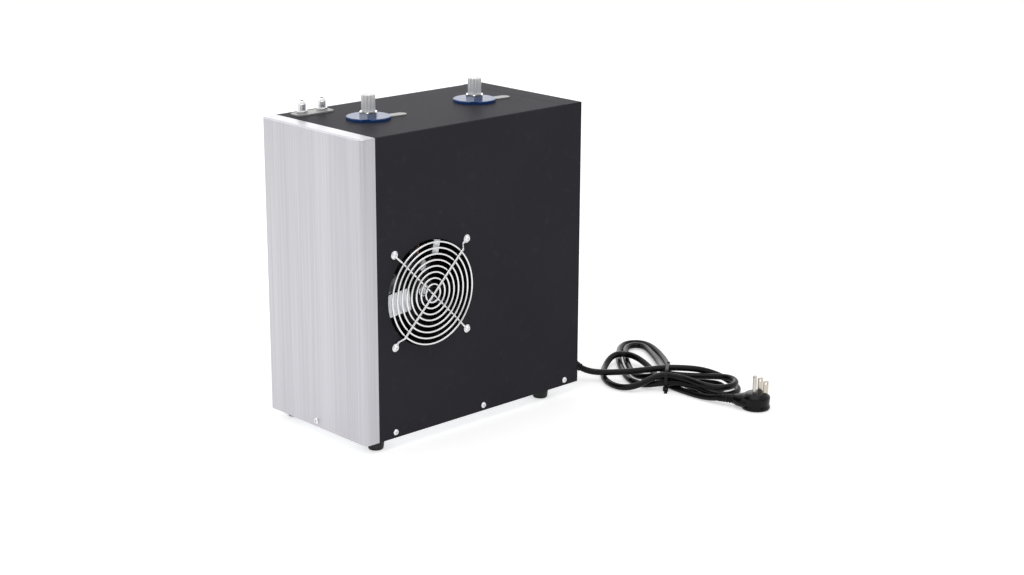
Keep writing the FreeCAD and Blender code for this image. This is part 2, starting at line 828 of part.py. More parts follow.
def make_base_pan():
    """The floor of the cabinet: a shallow tray that everything inside stands on."""
    outer = between(
        "PanOuter",
        (mid_x - pan_half_width, pan_front, base),
        (mid_x + pan_half_width, pan_rear, base + pan_rim),
    )
    inner = between(
        "PanInner",
        (mid_x - pan_half_width + sheet_wall, pan_front + sheet_wall, pan_floor),
        (mid_x + pan_half_width - sheet_wall, pan_rear - sheet_wall, base + pan_rim + 1),
    )

    def is_front_corner(edge):
        return is_upright(edge) and abs(edge.Vertexes[0].Point.y - float(pan_front)) < 1e-6

    bent = rounded("PanBent", outer, front_bend - sheet_wall, is_front_corner)
    tray = cut("PanTray", bent, [inner])
    tools = screw_holes("PanSideHole", side_screws + front_screws + low_rear_screws, snug, screw_length)
    tools += [
        rod(f"PanFootHole{i}", (x, y, base - 1), snug, sheet_wall + 2)
        for i, (x, y) in enumerate(feet_places)
    ]
    tools += [
        rod(f"PanMountHole{i}", (x, y, base - 1), clearance, sheet_wall + 2)
        for i, (x, y) in enumerate(compressor_mounts)
    ]
    hole_start = (cord_x, pan_rear - sheet_wall * 2, cord_z)
    tools.append(rod("PanCordHole", hole_start, gland_radius + fit_gap, sheet_wall * 4, Y_AXIS))
    return cut("BasePan", tray, tools)


def make_rail(name, at_front):
    """An angle under the top's seam that the two sheets beside it rest on."""
    low_y = pan_front if at_front else pan_rear - rear_rail_depth
    high_y = pan_front + rail_depth if at_front else pan_rear
    web_y = low_y if at_front else high_y - sheet_wall
    flat = between(
        name + "Flat",
        (mid_x - pan_half_width, low_y, inner_top - sheet_wall),
        (mid_x + pan_half_width, high_y, inner_top),
    )
    web = between(
        name + "Web",
        (mid_x - pan_half_width + front_bend, web_y, inner_top - rail_drop),
        (mid_x + pan_half_width - front_bend, web_y + sheet_wall, inner_top),
    )
    angle = fuse(name + "Angle", [flat, web])
    if at_front:
        corner_radius = front_bend - sheet_wall
        return rounded(name, angle, corner_radius, lambda e: is_upright(e) and is_outer_corner(e, low_y))
    high_screws = [spot for spot in rear_screws if spot[2] is not screw_z]
    return cut(name, angle, screw_holes(name + "Hole", high_screws, snug, screw_length))


def is_outer_corner(edge, y):
    spot = edge.Vertexes[0].Point
    outside = abs(abs(spot.x - float(mid_x)) - float(pan_half_width)) < 1e-6
    return outside and abs(spot.y - float(y)) < 1e-6


def make_foot(name, x, y):
    """A rubber foot with a recess underneath for its screw."""
    body = new_body(name)
    section = sketch_on(body, "XZ_Plane", name + "Section")
    polygon(section, [
        (snug, foot_recess_depth), (foot_recess_radius, foot_recess_depth), (foot_recess_radius, 0),
        (foot_radius - foot_taper, 0), (foot_radius, foot_height), (snug, foot_height),
    ])
    foot = turned(body, section, name + "Turned")

    def is_outer_rim(edge):
        return at_height(edge, 0) and edge.Curve.Radius > foot_recess_radius.value + 0.1

    softened(body, foot, foot_round, name + "Rim", is_outer_rim)
    return place(body, x, y, 0)


def make_guard():
    """The wire finger guard: rings welded between two crossed stays, with an eye at each corner."""
    diagonal = math.sqrt(0.5)
    pieces = []
    for i in range(GUARD_RINGS):
        radius = guard_ring_radius - guard_ring_pitch * i
        centre = (right + ring_lift, fan_y, fan_z)
        pieces.append(ring(f"GuardRing{i}", centre, radius, guard_wire_radius, X_AXIS))
    reach = guard_pitch * diagonal
    eye_lift = eye_height / 2
    weld = guard_stay_radius + guard_wire_radius - guard_weld
    crank_start = guard_ring_radius + 2.5
    crank_end = crank_start + 6
    for k, (rise, lift) in enumerate(((1, ring_lift + weld), (-1, ring_lift - weld))):
        for side in (-1, 1):
            def spot(along, out):
                y = fan_y + side * diagonal * along
                z = fan_z + side * rise * diagonal * along
                return (right + out, y, z)

            along = V(0, side * diagonal, side * rise * diagonal)
            tag = f"{k}{side + 1}"
            pieces.append(rod("GuardStay" + tag, spot(0, lift), guard_stay_radius, crank_start, along))
            pieces.append(ball("GuardBend" + tag, spot(crank_start, lift), guard_stay_radius))
            fall = eye_lift - lift
            slope = V(float(fall), along.y * 6, along.z * 6)
            start = spot(crank_start, lift)
            pieces.append(rod("GuardCrank" + tag, start, guard_stay_radius, slope.Length, slope))
            pieces.append(ball("GuardKnee" + tag, spot(crank_end, eye_lift), guard_stay_radius))
            end = reach - crank_end - head_radius - fit_gap
            pieces.append(rod("GuardEnd" + tag, spot(crank_end, eye_lift), guard_stay_radius, end, along))
    eyes = [
        rod(f"GuardEye{i}", (right, y, z), eye_radius, eye_height, X_AXIS)
        for i, (y, z) in enumerate(guard_spots)
    ]
    tools = [
        rod(f"GuardEyeHole{i}", (right - 1, y, z), clearance, guard_reach + 2, X_AXIS)
        for i, (y, z) in enumerate(guard_spots)
    ]
    behind = block(
        "GuardBack",
        (right - guard_reach, fan_y - guard_pitch, fan_z - guard_pitch),
        (guard_reach, guard_pitch * 2, guard_pitch * 2),
    )
    return cut("FanGuard", fuse("GuardWires", pieces + eyes), tools + [behind])


def make_guard_clips():
    """The clip nuts behind the side sheet that the guard's screws run into."""
    clips = []
    for y, z in guard_spots:
        low = V(float(right - sheet_wall - clip_height), float(y - clip_side / 2), float(z - clip_side / 2))
        clip = Part.makeBox(float(clip_height), float(clip_side), float(clip_side), low)
        hole = Part.makeCylinder(float(snug), float(clip_height), V(low.x, float(y), float(z)), X_AXIS)
        clips.append(clip.cut(hole))
    return shaped("GuardClips", Part.makeCompound(clips))


def make_shroud():
    """The ring that leads the air to the side opening, with a square flange at its inner end."""
    start = shroud_right - shroud_length
    side = shroud_radius + shroud_flange
    wall = rod("ShroudWall", (start, fan_y, fan_z), shroud_radius, shroud_length, X_AXIS)
    flange = between(
        "ShroudFlange", (start, fan_y - side, fan_z - side), (start + sheet_wall, fan_y + side, fan_z + side)
    )
    whole = fuse("ShroudWhole", [wall, flange])
    bore_radius = shroud_radius - sheet_wall
    bore = rod("ShroudBore", (start - 1, fan_y, fan_z), bore_radius, shroud_length + 2, X_AXIS)
    return cut("FanShroud", whole, [bore])


def hook_part(name, start, length, inner, thick, width, angle):
    """A flat part of a hook, at a radius round the fan and turned to its arm's angle."""
    out_y = math.cos(math.radians(angle))
    out_z = math.sin(math.radians(angle))
    made = doc.addObject("Part::Box", name)
    bind(made, "Length", length)
    bind(made, "Width", thick)
    bind(made, "Height", width)
    y = fan_y + inner * out_y + width * (out_z / 2)
    z = fan_z + inner * out_z - width * (out_y / 2)
    return place(made, start, y, z, FreeCAD.Rotation(X_AXIS, angle))


def make_bracket():
    """The bright spider of the fan motor: three arms, of which two hook forward to the opening."""
    hub_radius = bell_radius + bracket_rim
    pieces = [rod("BracketHub", (bracket_left, fan_y, fan_z), hub_radius, bracket_sheet, X_AXIS)]
    reach = shroud_radius + shroud_flange / 5
    arms = ((77, bracket_arm_width), (186, bracket_arm_wide), (330, bracket_arm_width))
    for i, (angle, width) in enumerate(arms):
        arm = doc.addObject("Part::Box", f"BracketArm{i}")
        bind(arm, "Length", bracket_sheet)
        bind(arm, "Width", reach)
        bind(arm, "Height", width)
        turn = FreeCAD.Rotation(X_AXIS, angle)
        low = turn.multVec(V(0, 0, -float(width) / 2))
        place(arm, bracket_left, fan_y + low.y, fan_z + low.z, turn)
        pieces.append(arm)
    reach_limit = rod("BracketLimit", (bracket_left, fan_y, fan_z), reach, bracket_sheet, X_AXIS)
    spider = doc.addObject("Part::MultiCommon", "BracketSpider")
    spider.Shapes = [fuse("BracketArms", pieces), reach_limit]
    hook_radius = shroud_radius - sheet_wall - hook_gap
    hook_end = shroud_right - hook_gap
    hooks = []
    for i, ((angle, width), tab) in enumerate(zip(arms, (hook_tab, hook_tab_wide))):
        wall = hook_radius - bracket_sheet
        hooks.append(hook_part(
            f"BracketWall{i}", bracket_left, hook_end - bracket_left, wall, bracket_sheet, width, angle
        ))
        hooks.append(hook_part(
            f"BracketTab{i}", hook_end - bracket_sheet, bracket_sheet, hook_radius - tab, tab, width, angle
        ))
    hole_radius = bell_radius + fit_gap
    hole = rod("BracketHole", (bracket_left - 1, fan_y, fan_z), hole_radius, bracket_sheet + 2, X_AXIS)
    return cut("FanBracket", fuse("BracketWhole", [spider] + hooks), [hole])


def make_stator():
    """The motor's lamination pack and windings."""
    half = stator_side / 2
    pack = between(
        "StatorPack", (stator_left, fan_y - half, fan_z - half), (bracket_left, fan_y + half, fan_z + half)
    )
    eased = rounded("StatorEased", pack, stator_round, lambda e: runs_along(e, X_AXIS))
    bore_radius = rotor_radius + rotor_gap
    bore = rod("StatorBore", (stator_left - 1, fan_y, fan_z), bore_radius, stator_depth + 2, X_AXIS)
    return cut("MotorStator", eased, [bore])


def make_bell(name, start, depth, outwards):
    """A cup that closes one end of the motor and holds a bearing in its floor."""
    cup = rod(name + "Cup", (start, fan_y, fan_z), bell_radius, depth, X_AXIS)
    hollow_start = start - 1 if outwards > 0 else start + bell_wall
    hollow_radius = bell_radius - bell_wall
    hollow = rod(name + "Hollow", (hollow_start, fan_y, fan_z), hollow_radius, depth - bell_wall + 1, X_AXIS)
    boss = rod(name + "Boss", (start, fan_y, fan_z), bearing_radius + bell_wall, depth, X_AXIS)
    bore = rod(name + "Bore", (start - 1, fan_y, fan_z), bearing_radius, depth + 2, X_AXIS)
    return cut(name, fuse(name + "Whole", [cut(name + "Shell", cup, [hollow]), boss]), [bore])


def make_bearings():
    """Two plain bushes, one in each end of the motor."""
    bushes = []
    for start, length in ((stator_left - bell_depth, bearing_length), (bracket_left, bell_front_depth)):
        at = V(float(start), float(fan_y), float(fan_z))
        bush = Part.makeCylinder(float(bearing_radius), float(length), at, X_AXIS)
        bore = Part.makeCylinder(float(shaft_radius + run_gap), float(length), at, X_AXIS)
        bushes.append(bush.cut(bore))
    return shaped("MotorBearings", Part.makeCompound(bushes))


def make_impeller():
    """The fan wheel: a hub and five pitched sheet blades."""
    hub = rod("ImpellerHub", (blade_left, fan_y, fan_z), hub_radius, blade_depth, X_AXIS)
    chord = blade_depth * 1.8
    blades = []
    for i in range(FAN_BLADES):
        blade = doc.addObject("Part::Box", f"ImpellerBlade{i}")
        bind(blade, "Length", blade_sheet)
        bind(blade, "Width", blade_tip_radius + 4)
        bind(blade, "Height", chord)
        around = FreeCAD.Rotation(X_AXIS, 360 / FAN_BLADES * i + BLADE_ANGLE)
        turn = around.multiply(FreeCAD.Rotation(Y_AXIS, BLADE_PITCH))
        low = turn.multVec(V(-float(blade_sheet) / 2, 0, -float(chord) / 2))
        place(blade, blade_left + blade_depth / 2 + low.x, fan_y + low.y, fan_z + low.z, turn)
        blades.append(blade)
    limit = rod("ImpellerLimit", (blade_left, fan_y, fan_z), blade_tip_radius, blade_depth, X_AXIS)
    swept = doc.addObject("Part::MultiCommon", "ImpellerBlades")
    swept.Shapes = [fuse("ImpellerRough", [hub] + blades), limit]
    bore = rod("ImpellerBore", (blade_left - 1, fan_y, fan_z), shaft_radius, blade_depth + 2, X_AXIS)
    return cut("FanImpeller", swept, [bore])


def make_shaft():
    """The steel shaft that the rotor and the impeller are pressed on."""
    start = stator_left - bell_depth
    return rod("FanShaft", (start, fan_y, fan_z), shaft_radius, blade_right + 2 - start, X_AXIS)


def make_rotor():
    """The motor's squirrel-cage rotor."""
    whole = rod("RotorWhole", (stator_left, fan_y, fan_z), rotor_radius, stator_depth, X_AXIS)
    bore = rod("RotorBore", (stator_left - 1, fan_y, fan_z), shaft_radius, stator_depth + 2, X_AXIS)
    return cut("MotorRotor", whole, [bore])


def coil_levels():
    """The heights of the condenser tube's passes, from the top down."""
    middle = (COIL_PASSES - 1) / 2
    return [fan_z + (middle - i) * coil_pass_pitch for i in range(COIL_PASSES)]


def make_fins():
    """The condenser's fins: thin plates across the tube's passes, with a hole for each pass."""
    span = 2 * float(end_plate_y - fin_edge_gap)
    count = int(span / float(fin_pitch)) + 1
    first_y = float(fan_y) - (count - 1) / 2 * float(fin_pitch) - float(fin_sheet) / 2
    low = V(float(fin_left), first_y, float(fan_z - fin_height / 2))
    fin = Part.makeBox(float(fin_depth), float(fin_sheet), float(fin_height), low)
    for z in coil_levels():
        start = V(float(coil_x), first_y - 1, float(z))
        fin = fin.cut(Part.makeCylinder(float(tube_hole), float(fin_sheet) + 2, start, Y_AXIS))
    fins = []
    for i in range(count):
        copy = fin.copy()
        copy.translate(V(0, i * float(fin_pitch), 0))
        fins.append(copy)
    return shaped("CondenserFins", Part.makeCompound(fins))


def make_end_plates():
    """The two plates that carry the condenser, each with a foot flange on the base pan."""
    plates = []
    for side, tag in ((-1, "Front"), (1, "Rear")):
        near = fan_y + side * end_plate_y
        far = near + side * end_plate_sheet
        foot = near + side * end_plate_foot
        low_x = fin_left - end_plate_sheet
        high_x = fin_left + fin_depth + end_plate_sheet
        head = fan_z + fin_height / 2
        web_ys = (near, far) if side > 0 else (far, near)
        foot_ys = (near, foot) if side > 0 else (foot, near)
        web = between(f"EndPlate{tag}Web", (low_x, web_ys[0], pan_floor), (high_x, web_ys[1], head))
        flange = between(
            f"EndPlate{tag}Foot",
            (low_x, foot_ys[0], pan_floor),
            (high_x, foot_ys[1], pan_floor + end_plate_sheet),
        )
        holes = [
            rod(f"EndPlate{tag}Hole{i}", (coil_x, web_ys[0] - 1, z), tube_hole, end_plate_sheet + 2, Y_AXIS)
            for i, z in enumerate(coil_levels())
        ]
        plates.append(cut(f"EndPlate{tag}", fuse(f"EndPlate{tag}Whole", [web, flange]), holes))
    return group("CondenserPlates", plates)


def make_condenser_tube():
    """One tube bent to and fro through the fins, with both its ends at the back."""
    bend = float(coil_pass_pitch) / 2
    x = float(coil_x)
    near = float(fan_y - coil_end)
    far = float(fan_y + coil_end)
    levels = [float(z) for z in coil_levels()]
    tail = far + float(coil_tail)
    edges = []
    for i, z in enumerate(levels):
        going = -1 if i % 2 == 0 else 1
        start = tail if i == 0 else (far if going < 0 else near)
        end = tail if i == len(levels) - 1 else (near if going < 0 else far)
        edges.append(Part.LineSegment(V(x, start, z), V(x, end, z)).toShape())
        if i < len(levels) - 1:
            middle = V(x, end + going * bend, z - bend)
            edges.append(Part.Arc(V(x, end, z), middle, V(x, end, levels[i + 1])).toShape())
    return shaped("CondenserTube", pipe_along(Part.Wire(edges), coil_tube_radius, coil_tube_bore))


def make_port_disc(name, y):
    """The coloured disc under a port's nut: flat, with a shallow recess beneath for the tab's ring."""
    disc = rod(name + "Whole", (port_x, y, top), disc_radius, disc_height)
    eased = rounded(name + "Eased", disc, disc_round, lambda e: at_height(e, disc_top))
    turn = FreeCAD.Rotation(Z_AXIS, TAB_ANGLE)
    half = tab_width / 2 + fit_gap
    side = turn.multVec(V(0, -float(half), 0))
    channel = doc.addObject("Part::Box", name + "Channel")
    bind(channel, "Length", disc_radius + 1)
    bind(channel, "Width", half * 2)
    bind(channel, "Height", tab_sheet + fit_gap)
    place(channel, port_x + side.x, y + side.y, top, turn)
    notch_reach = float(disc_radius + disc_notch_radius - disc_notch_depth)
    notch = turned_spot(NOTCH_ANGLE, notch_reach)
    tools = [
        rod(name + "Hole", (port_x, y, top - 1), port_hole, disc_height + 2),
        rod(name + "Recess", (port_x, y, top), disc_recess_radius, tab_sheet + fit_gap),
        channel,
        rod(name + "Notch", (port_x + notch[0], y + notch[1], top - 1), disc_notch_radius, disc_height + 2),
    ]
    return cut(name, eased, tools)


def turned_spot(angle, reach):
    return (reach * math.cos(math.radians(angle)), reach * math.sin(math.radians(angle)))


def make_port_tab(name, y):
    """The pale label tab: a thin ring round the stub with a strip that reaches out past the disc."""
    turn = FreeCAD.Rotation(Z_AXIS, TAB_ANGLE)
    side = turn.multVec(V(0, -float(tab_width) / 2, 0))
    strip = doc.addObject("Part::Box", name + "Strip")
    bind(strip, "Length", tab_reach)
    bind(strip, "Width", tab_width)
    bind(strip, "Height", tab_sheet)
    place(strip, port_x + side.x, y + side.y, top, turn)
    round_end = turned_spot(TAB_ANGLE, float(tab_reach))
    end = rod(name + "End", (port_x + round_end[0], y + round_end[1], top), tab_width / 2, tab_sheet)
    middle = rod(name + "Ring", (port_x, y, top), tab_ring_radius, tab_sheet)
    whole = fuse(name + "Whole", [middle, strip, end])
    return cut(name, whole, [rod(name + "Hole", (port_x, y, top - 1), port_hole, tab_sheet + 2)])


def make_port_nuts():
    """The two hexagonal nuts that clamp the discs and hold the tank's stubs."""
    nuts = []
    for i, y in enumerate(port_ys):
        turn = FreeCAD.Rotation(Z_AXIS, NUT_ANGLE)
        nut = prism(f"PortNut{i}Hex", (port_x, y, disc_top), 6, nut_flats / math.sqrt(3), nut_height, turn)
        face_radius = nut_flats / 2 + nut_chamfer
        chamfer = cone(
            f"PortNut{i}Cone", (port_x, y, disc_top), face_radius + nut_height, face_radius, nut_height
        )
        eased = doc.addObject("Part::MultiCommon", f"PortNut{i}Eased")
        eased.Shapes = [nut, chamfer]
        hole = rod(f"PortNut{i}Hole", (port_x, y, disc_top - 1), stub_radius + fit_gap, nut_height + 2)
        nuts.append(cut(f"PortNut{i}", eased, [hole]))
    return group("PortNuts", nuts)


def make_port_cap(name, y):
    """A ribbed push-on cap over a stub."""
    radius = stub_radius + fit_gap + cap_wall
    barrel = rod(name + "Barrel", (port_x, y, cap_bottom), radius, cap_height)
    eased = rounded(name + "Eased", barrel, cap_round, lambda e: at_height(e, cap_bottom + cap_height))
    ribs = []
    for i in range(CAP_RIBS // 2):
        turn = FreeCAD.Rotation(Z_AXIS, 360 / CAP_RIBS * i)
        reach = radius + cap_rib_height
        low = turn.multVec(V(-float(reach), -float(cap_rib_width) / 2, 0))
        rib = doc.addObject("Part::Box", f"{name}Rib{i}")
        bind(rib, "Length", reach * 2)
        bind(rib, "Width", cap_rib_width)
        bind(rib, "Height", cap_height - cap_round - 0.3)
        place(rib, port_x + low.x, y + low.y, cap_bottom, turn)
        ribs.append(rib)
    bore = rod(name + "Bore", (port_x, y, cap_bottom - 1), stub_radius + fit_gap, cap_height - cap_wall + 1)
    return cut(name, fuse(name + "Whole", [eased] + ribs), [bore])


def make_port_seals():
    """The rubber rings between the stubs' collars and the cover."""
    rings = []
    for i, y in enumerate(port_ys):
        whole = rod(f"PortSeal{i}Whole", (port_x, y, inner_top - seal_height), collar_radius, seal_height)
        bore = rod(f"PortSeal{i}Bore", (port_x, y, inner_top - seal_height - 1), stub_radius, seal_height + 2)
        rings.append(cut(f"PortSeal{i}", whole, [bore]))
    return group("PortSeals", rings)


def make_tank():
    """The water tank: a closed drum lying along the cabinet, with two stubs through the top."""
    drum = rod("TankDrum", (port_x, tank_y - tank_length / 2, tank_z), tank_radius, tank_length, Y_AXIS)
    outer = rounded("TankOuter", drum, tank_round, lambda e: not runs_along(e, Y_AXIS))
    inner_length = tank_length - 2 * tank_wall
    inner_radius = tank_radius - tank_wall
    void = rod("TankVoid", (port_x, tank_y - inner_length / 2, tank_z), inner_radius, inner_length, Y_AXIS)
    inner = rounded("TankInner", void, tank_round - tank_wall, lambda e: not runs_along(e, Y_AXIS))
    low = tank_z + tank_radius * 0.6
    stubs = []
    bores = []
    for i, y in enumerate(port_ys):
        stubs.append(rod(f"TankStub{i}", (port_x, y, low), stub_radius, top + stub_rise - low))
        collar_low = inner_top - seal_height - collar_height
        stubs.append(rod(f"TankCollar{i}", (port_x, y, collar_low), collar_radius, collar_height))
        bores.append(rod(f"TankBore{i}", (port_x, y, low - 1), stub_bore, top + stub_rise - low + 2))
    return cut("WaterTank", fuse("TankWhole", [outer] + stubs), [inner] + bores)


def make_evaporator():
    """One tube bent to and fro round the tank, open along the bottom, with two tails straight down."""
    radius = float(evaporator_radius)
    open_from = -90 + float(evaporator_open)
    open_to = 270 - float(evaporator_open)

    def spot(angle, y):
        turn = math.radians(angle)
        return V(float(port_x) + radius * math.cos(turn), float(y), float(tank_z) + radius * math.sin(turn))

    bend = float(evaporator_pitch) / 2
    foot = float(foam_bottom - coil_tail)
    ys = evaporator_ys
    last = len(ys) - 1
    first = spot(0, ys[0])
    edges = [Part.LineSegment(V(first.x, first.y, foot), first).toShape()]
    for i, y in enumerate(ys):
        rising = i % 2 == 0
        start = 0 if i == 0 else (open_from if rising else open_to)
        end = 0 if i == last else (open_to if rising else open_from)
        edges.append(Part.Arc(spot(start, y), spot((start + end) / 2, y), spot(end, y)).toShape())
        if i < last:
            turn = math.radians(end)
            along = V(-math.sin(turn), 0, math.cos(turn)) * (1 if rising else -1)
            middle = spot(end, y + bend) + along * bend
            edges.append(Part.Arc(spot(end, y), middle, spot(end, ys[i + 1])).toShape())
    end = spot(0, ys[last])
    edges.append(Part.LineSegment(end, V(end.x, end.y, foot)).toShape())
    return shaped("EvaporatorCoil", pipe_along(Part.Wire(edges), coil_tube_radius))


def make_foam(name, is_upper):
    """One of the two foam shells that close round the tank and its coil."""
    low_z = tank_z if is_upper else foam_bottom
    high_z = foam_top if is_upper else tank_z
    whole = between(name + "Block", (foam_left, foam_front, low_z), (foam_right, foam_back, high_z))
    seat_length = tank_length + 2 * tank_seat_gap
    seat_radius = tank_radius + tank_seat_gap
    tools = [
        rod(name + "Cavity", (port_x, tank_y - cavity_reach, tank_z), foam_cavity, cavity_reach * 2, Y_AXIS),
        rod(name + "Seat", (port_x, tank_y - seat_length / 2, tank_z), seat_radius, seat_length, Y_AXIS),
    ]
    if is_upper:
        tools += [
            rod(f"{name}Hole{i}", (port_x, y, tank_z), stub_radius + tank_seat_gap, foam_height)
            for i, y in enumerate(port_ys)
        ]
    else:
        tail_x = port_x + evaporator_radius
        tail_hole = coil_tube_radius + tank_seat_gap
        tools += [
            rod(f"{name}Hole{i}", (tail_x, y, foam_bottom - 1), tail_hole, tank_z - foam_bottom)
            for i, y in enumerate((evaporator_ys[0], evaporator_ys[-1]))
        ]
        bulb_start = (port_x, port_ys[1], tank_z - bulb_drop)
        tools.append(rod(name + "BulbHole", bulb_start, bulb_radius + tank_seat_gap, foam_width, X_AXIS))
    return cut(name, whole, tools)


def make_straps():
    """Two steel bands that hold the foam shells together round the tank."""
    straps = []
    stand_off = strap_sheet + fit_gap
    for side in (-1, 1):
        middle = tank_y + side * strap_pitch / 2
        outer = between(
            f"Strap{side + 1}Outer",
            (foam_left - stand_off, middle - strap_width / 2, foam_bottom - stand_off),
            (foam_right + stand_off, middle + strap_width / 2, foam_top + stand_off),
        )
        inner = between(
            f"Strap{side + 1}Inner",
            (foam_left - fit_gap, middle - strap_width, foam_bottom - fit_gap),
            (foam_right + fit_gap, middle + strap_width, foam_top + fit_gap),
        )
        straps.append(cut(f"Strap{side + 1}", outer, [inner]))
    return group("FoamStraps", straps)


def make_service_plate():
    """The pale rounded plate under the two service fittings."""
    middle_y = (service_ys[0] + service_ys[1]) / 2
    low = (service_x - plate_width / 2, middle_y - plate_length / 2, top)
    plate = block("ServicePlateBlank", low, (plate_width, plate_length, plate_sheet))
    eased = rounded("ServicePlateEased", plate, plate_corner, is_upright)
    holes = [
        rod(f"ServicePlateHole{i}", (service_x, y, top - 1), service_hole, plate_sheet + 2)
        for i, y in enumerate(service_ys)
    ]
    return cut("ServicePlate", eased, holes)


def make_service_fitting(name, y):
    """A flare fitting: a shank through the top, a hexagon, a thread and a bored cone."""
    seat = top + plate_sheet
    low = inner_top - service_shank
    head = seat + service_base + service_thread
    pieces = [
        rod(name + "Barrel", (service_x, y, low), service_radius, head - low),
        prism(name + "Hex", (service_x, y, seat), 6, service_flats / math.sqrt(3), service_base),
        cone(name + "Cone", (service_x, y, head), service_radius, service_bore + service_lip, service_cone),
    ]
    bore = rod(name + "Bore", (service_x, y, low - 1), service_bore, head + service_cone - low + 2)
    return cut(name, fuse(name + "Whole", pieces), [bore])


def make_service_nuts():
    """The two nuts that hold the service fittings from inside."""
    nuts = []
    corner_radius = service_nut_flats / math.sqrt(3)
    for i, y in enumerate(service_ys):
        low = inner_top - service_nut
        nut = prism(f"ServiceNut{i}Hex", (service_x, y, low), 6, corner_radius, service_nut)
        hole = rod(f"ServiceNut{i}Hole", (service_x, y, low - 1), service_radius + fit_gap, service_nut + 2)
        nuts.append(cut(f"ServiceNut{i}", nut, [hole]))
    return group("ServiceNuts", nuts)


def make_compressor():
    """The sealed compressor: a drawn shell with a weld rim, four stubs and a mounting plate."""
    shell = rod("ShellBlank", (compressor_x, compressor_y, plate_top), shell_radius, shell_height)
    eased = rounded("ShellEased", shell, shell_round, lambda e: not is_upright(e))
    rim_z = plate_top + weld_rise
    rim = rod("ShellRim", (compressor_x, compressor_y, rim_z), shell_radius + weld_rim, weld_rim)
    seat_radius = shell_radius - shell_round / 2
    foot = rod("ShellFoot", (compressor_x, compressor_y, plate_top), seat_radius, shell_round / 4)
    plate_left = compressor_x - mount_plate_width / 2
    plate_front = compressor_y - mount_plate_length / 2
    plate = block(
        "MountPlate",
        (plate_left, plate_front, plate_top - mount_plate_sheet),
        (mount_plate_width, mount_plate_length, mount_plate_sheet),
    )
    stub_low = plate_top + shell_height - shell_round
    stubs = [
        rod(f"ShellStub{i}", (x, y, stub_low), line_radius + 1, stub_top - stub_low)
        for i, (x, y) in enumerate((suction_stub, discharge_stub, low_service_stub, high_service_stub))
    ]
    holes = [
        rod(f"MountHole{i}", (x, y, plate_top - mount_plate_sheet - 1), clearance, mount_plate_sheet + 2)
        for i, (x, y) in enumerate(compressor_mounts)
    ]
    return cut("Compressor", fuse("CompressorWhole", [eased, rim, foot, plate] + stubs), holes)


def make_grommets():
    """The four rubber buffers between the compressor's plate and the base pan."""
    buffers = []
    for i, (x, y) in enumerate(compressor_mounts):
        whole = rod(f"Grommet{i}Whole", (x, y, pan_floor), grommet_radius, grommet_height)
        hole = rod(f"Grommet{i}Hole", (x, y, pan_floor - 1), clearance, grommet_height + 2)
        buffers.append(cut(f"Grommet{i}", whole, [hole]))
    return group("CompressorGrommets", buffers)


def make_compressor_bolts():
    """The bolts through the compressor's plate, its buffers and the pan, each with its nut below."""
    pieces = []
    for i, (x, y) in enumerate(compressor_mounts):
        head = prism(f"Bolt{i}Head", (x, y, plate_top), 6, bolt_flats / math.sqrt(3), bolt_head)
        low = base - bolt_head - 1
        shank = rod(f"Bolt{i}Shank", (x, y, low), screw_radius, plate_top - low + bolt_head / 2)
        pieces.append(fuse(f"Bolt{i}", [head, shank]))
        nut = prism(f"BoltNut{i}Hex", (x, y, base - bolt_head), 6, bolt_flats / math.sqrt(3), bolt_head)
        hole = rod(f"BoltNut{i}Hole", (x, y, base - bolt_head - 1), screw_radius, bolt_head + 2)
        pieces.append(cut(f"BoltNut{i}", nut, [hole]))
    return group("CompressorBolts", pieces)


def make_start_relay():
    """The starter box on the compressor's side, shaped to its shell."""
    low = (compressor_x, relay_y - relay_width / 2, relay_z)
    box = block("RelayBlank", low, (shell_radius + relay_depth, relay_width, relay_height))
    eased = rounded("RelayEased", box, relay_round, lambda e: e.Vertexes[0].Point.x > float(compressor_x) + 1)
    seat_radius = shell_radius + fit_gap
    shell = rod("RelaySeat", (compressor_x, compressor_y, relay_z - 1), seat_radius, relay_height + 2)
    return cut("StartRelay", eased, [shell])


def make_drier():
    """The filter drier with the liquid pipe that feeds it from the condenser."""
    inlet_y = fan_y + coil_end + coil_tail
    z = coil_levels()[-1]
    x = coil_x
    low = z + drier_rise
    wire, _ = route_wire([(x, inlet_y, z), (x, drier_y, z), (x, drier_y, low + 1)], 0.45, 9)
    pipe = shaped("DrierPipe", pipe_along(wire, line_radius))
    body_z = low + drier_taper
    head_z = body_z + drier_length
    pieces = [
        pipe,
        cone("DrierFoot", (x, drier_y, low), line_radius, drier_radius, drier_taper),
        rod("DrierBody", (x, drier_y, body_z), drier_radius, drier_length),
        cone("DrierHead", (x, drier_y, head_z), drier_radius, capillary_radius + 1, drier_taper),
    ]
    return fuse("FilterDrier", pieces)


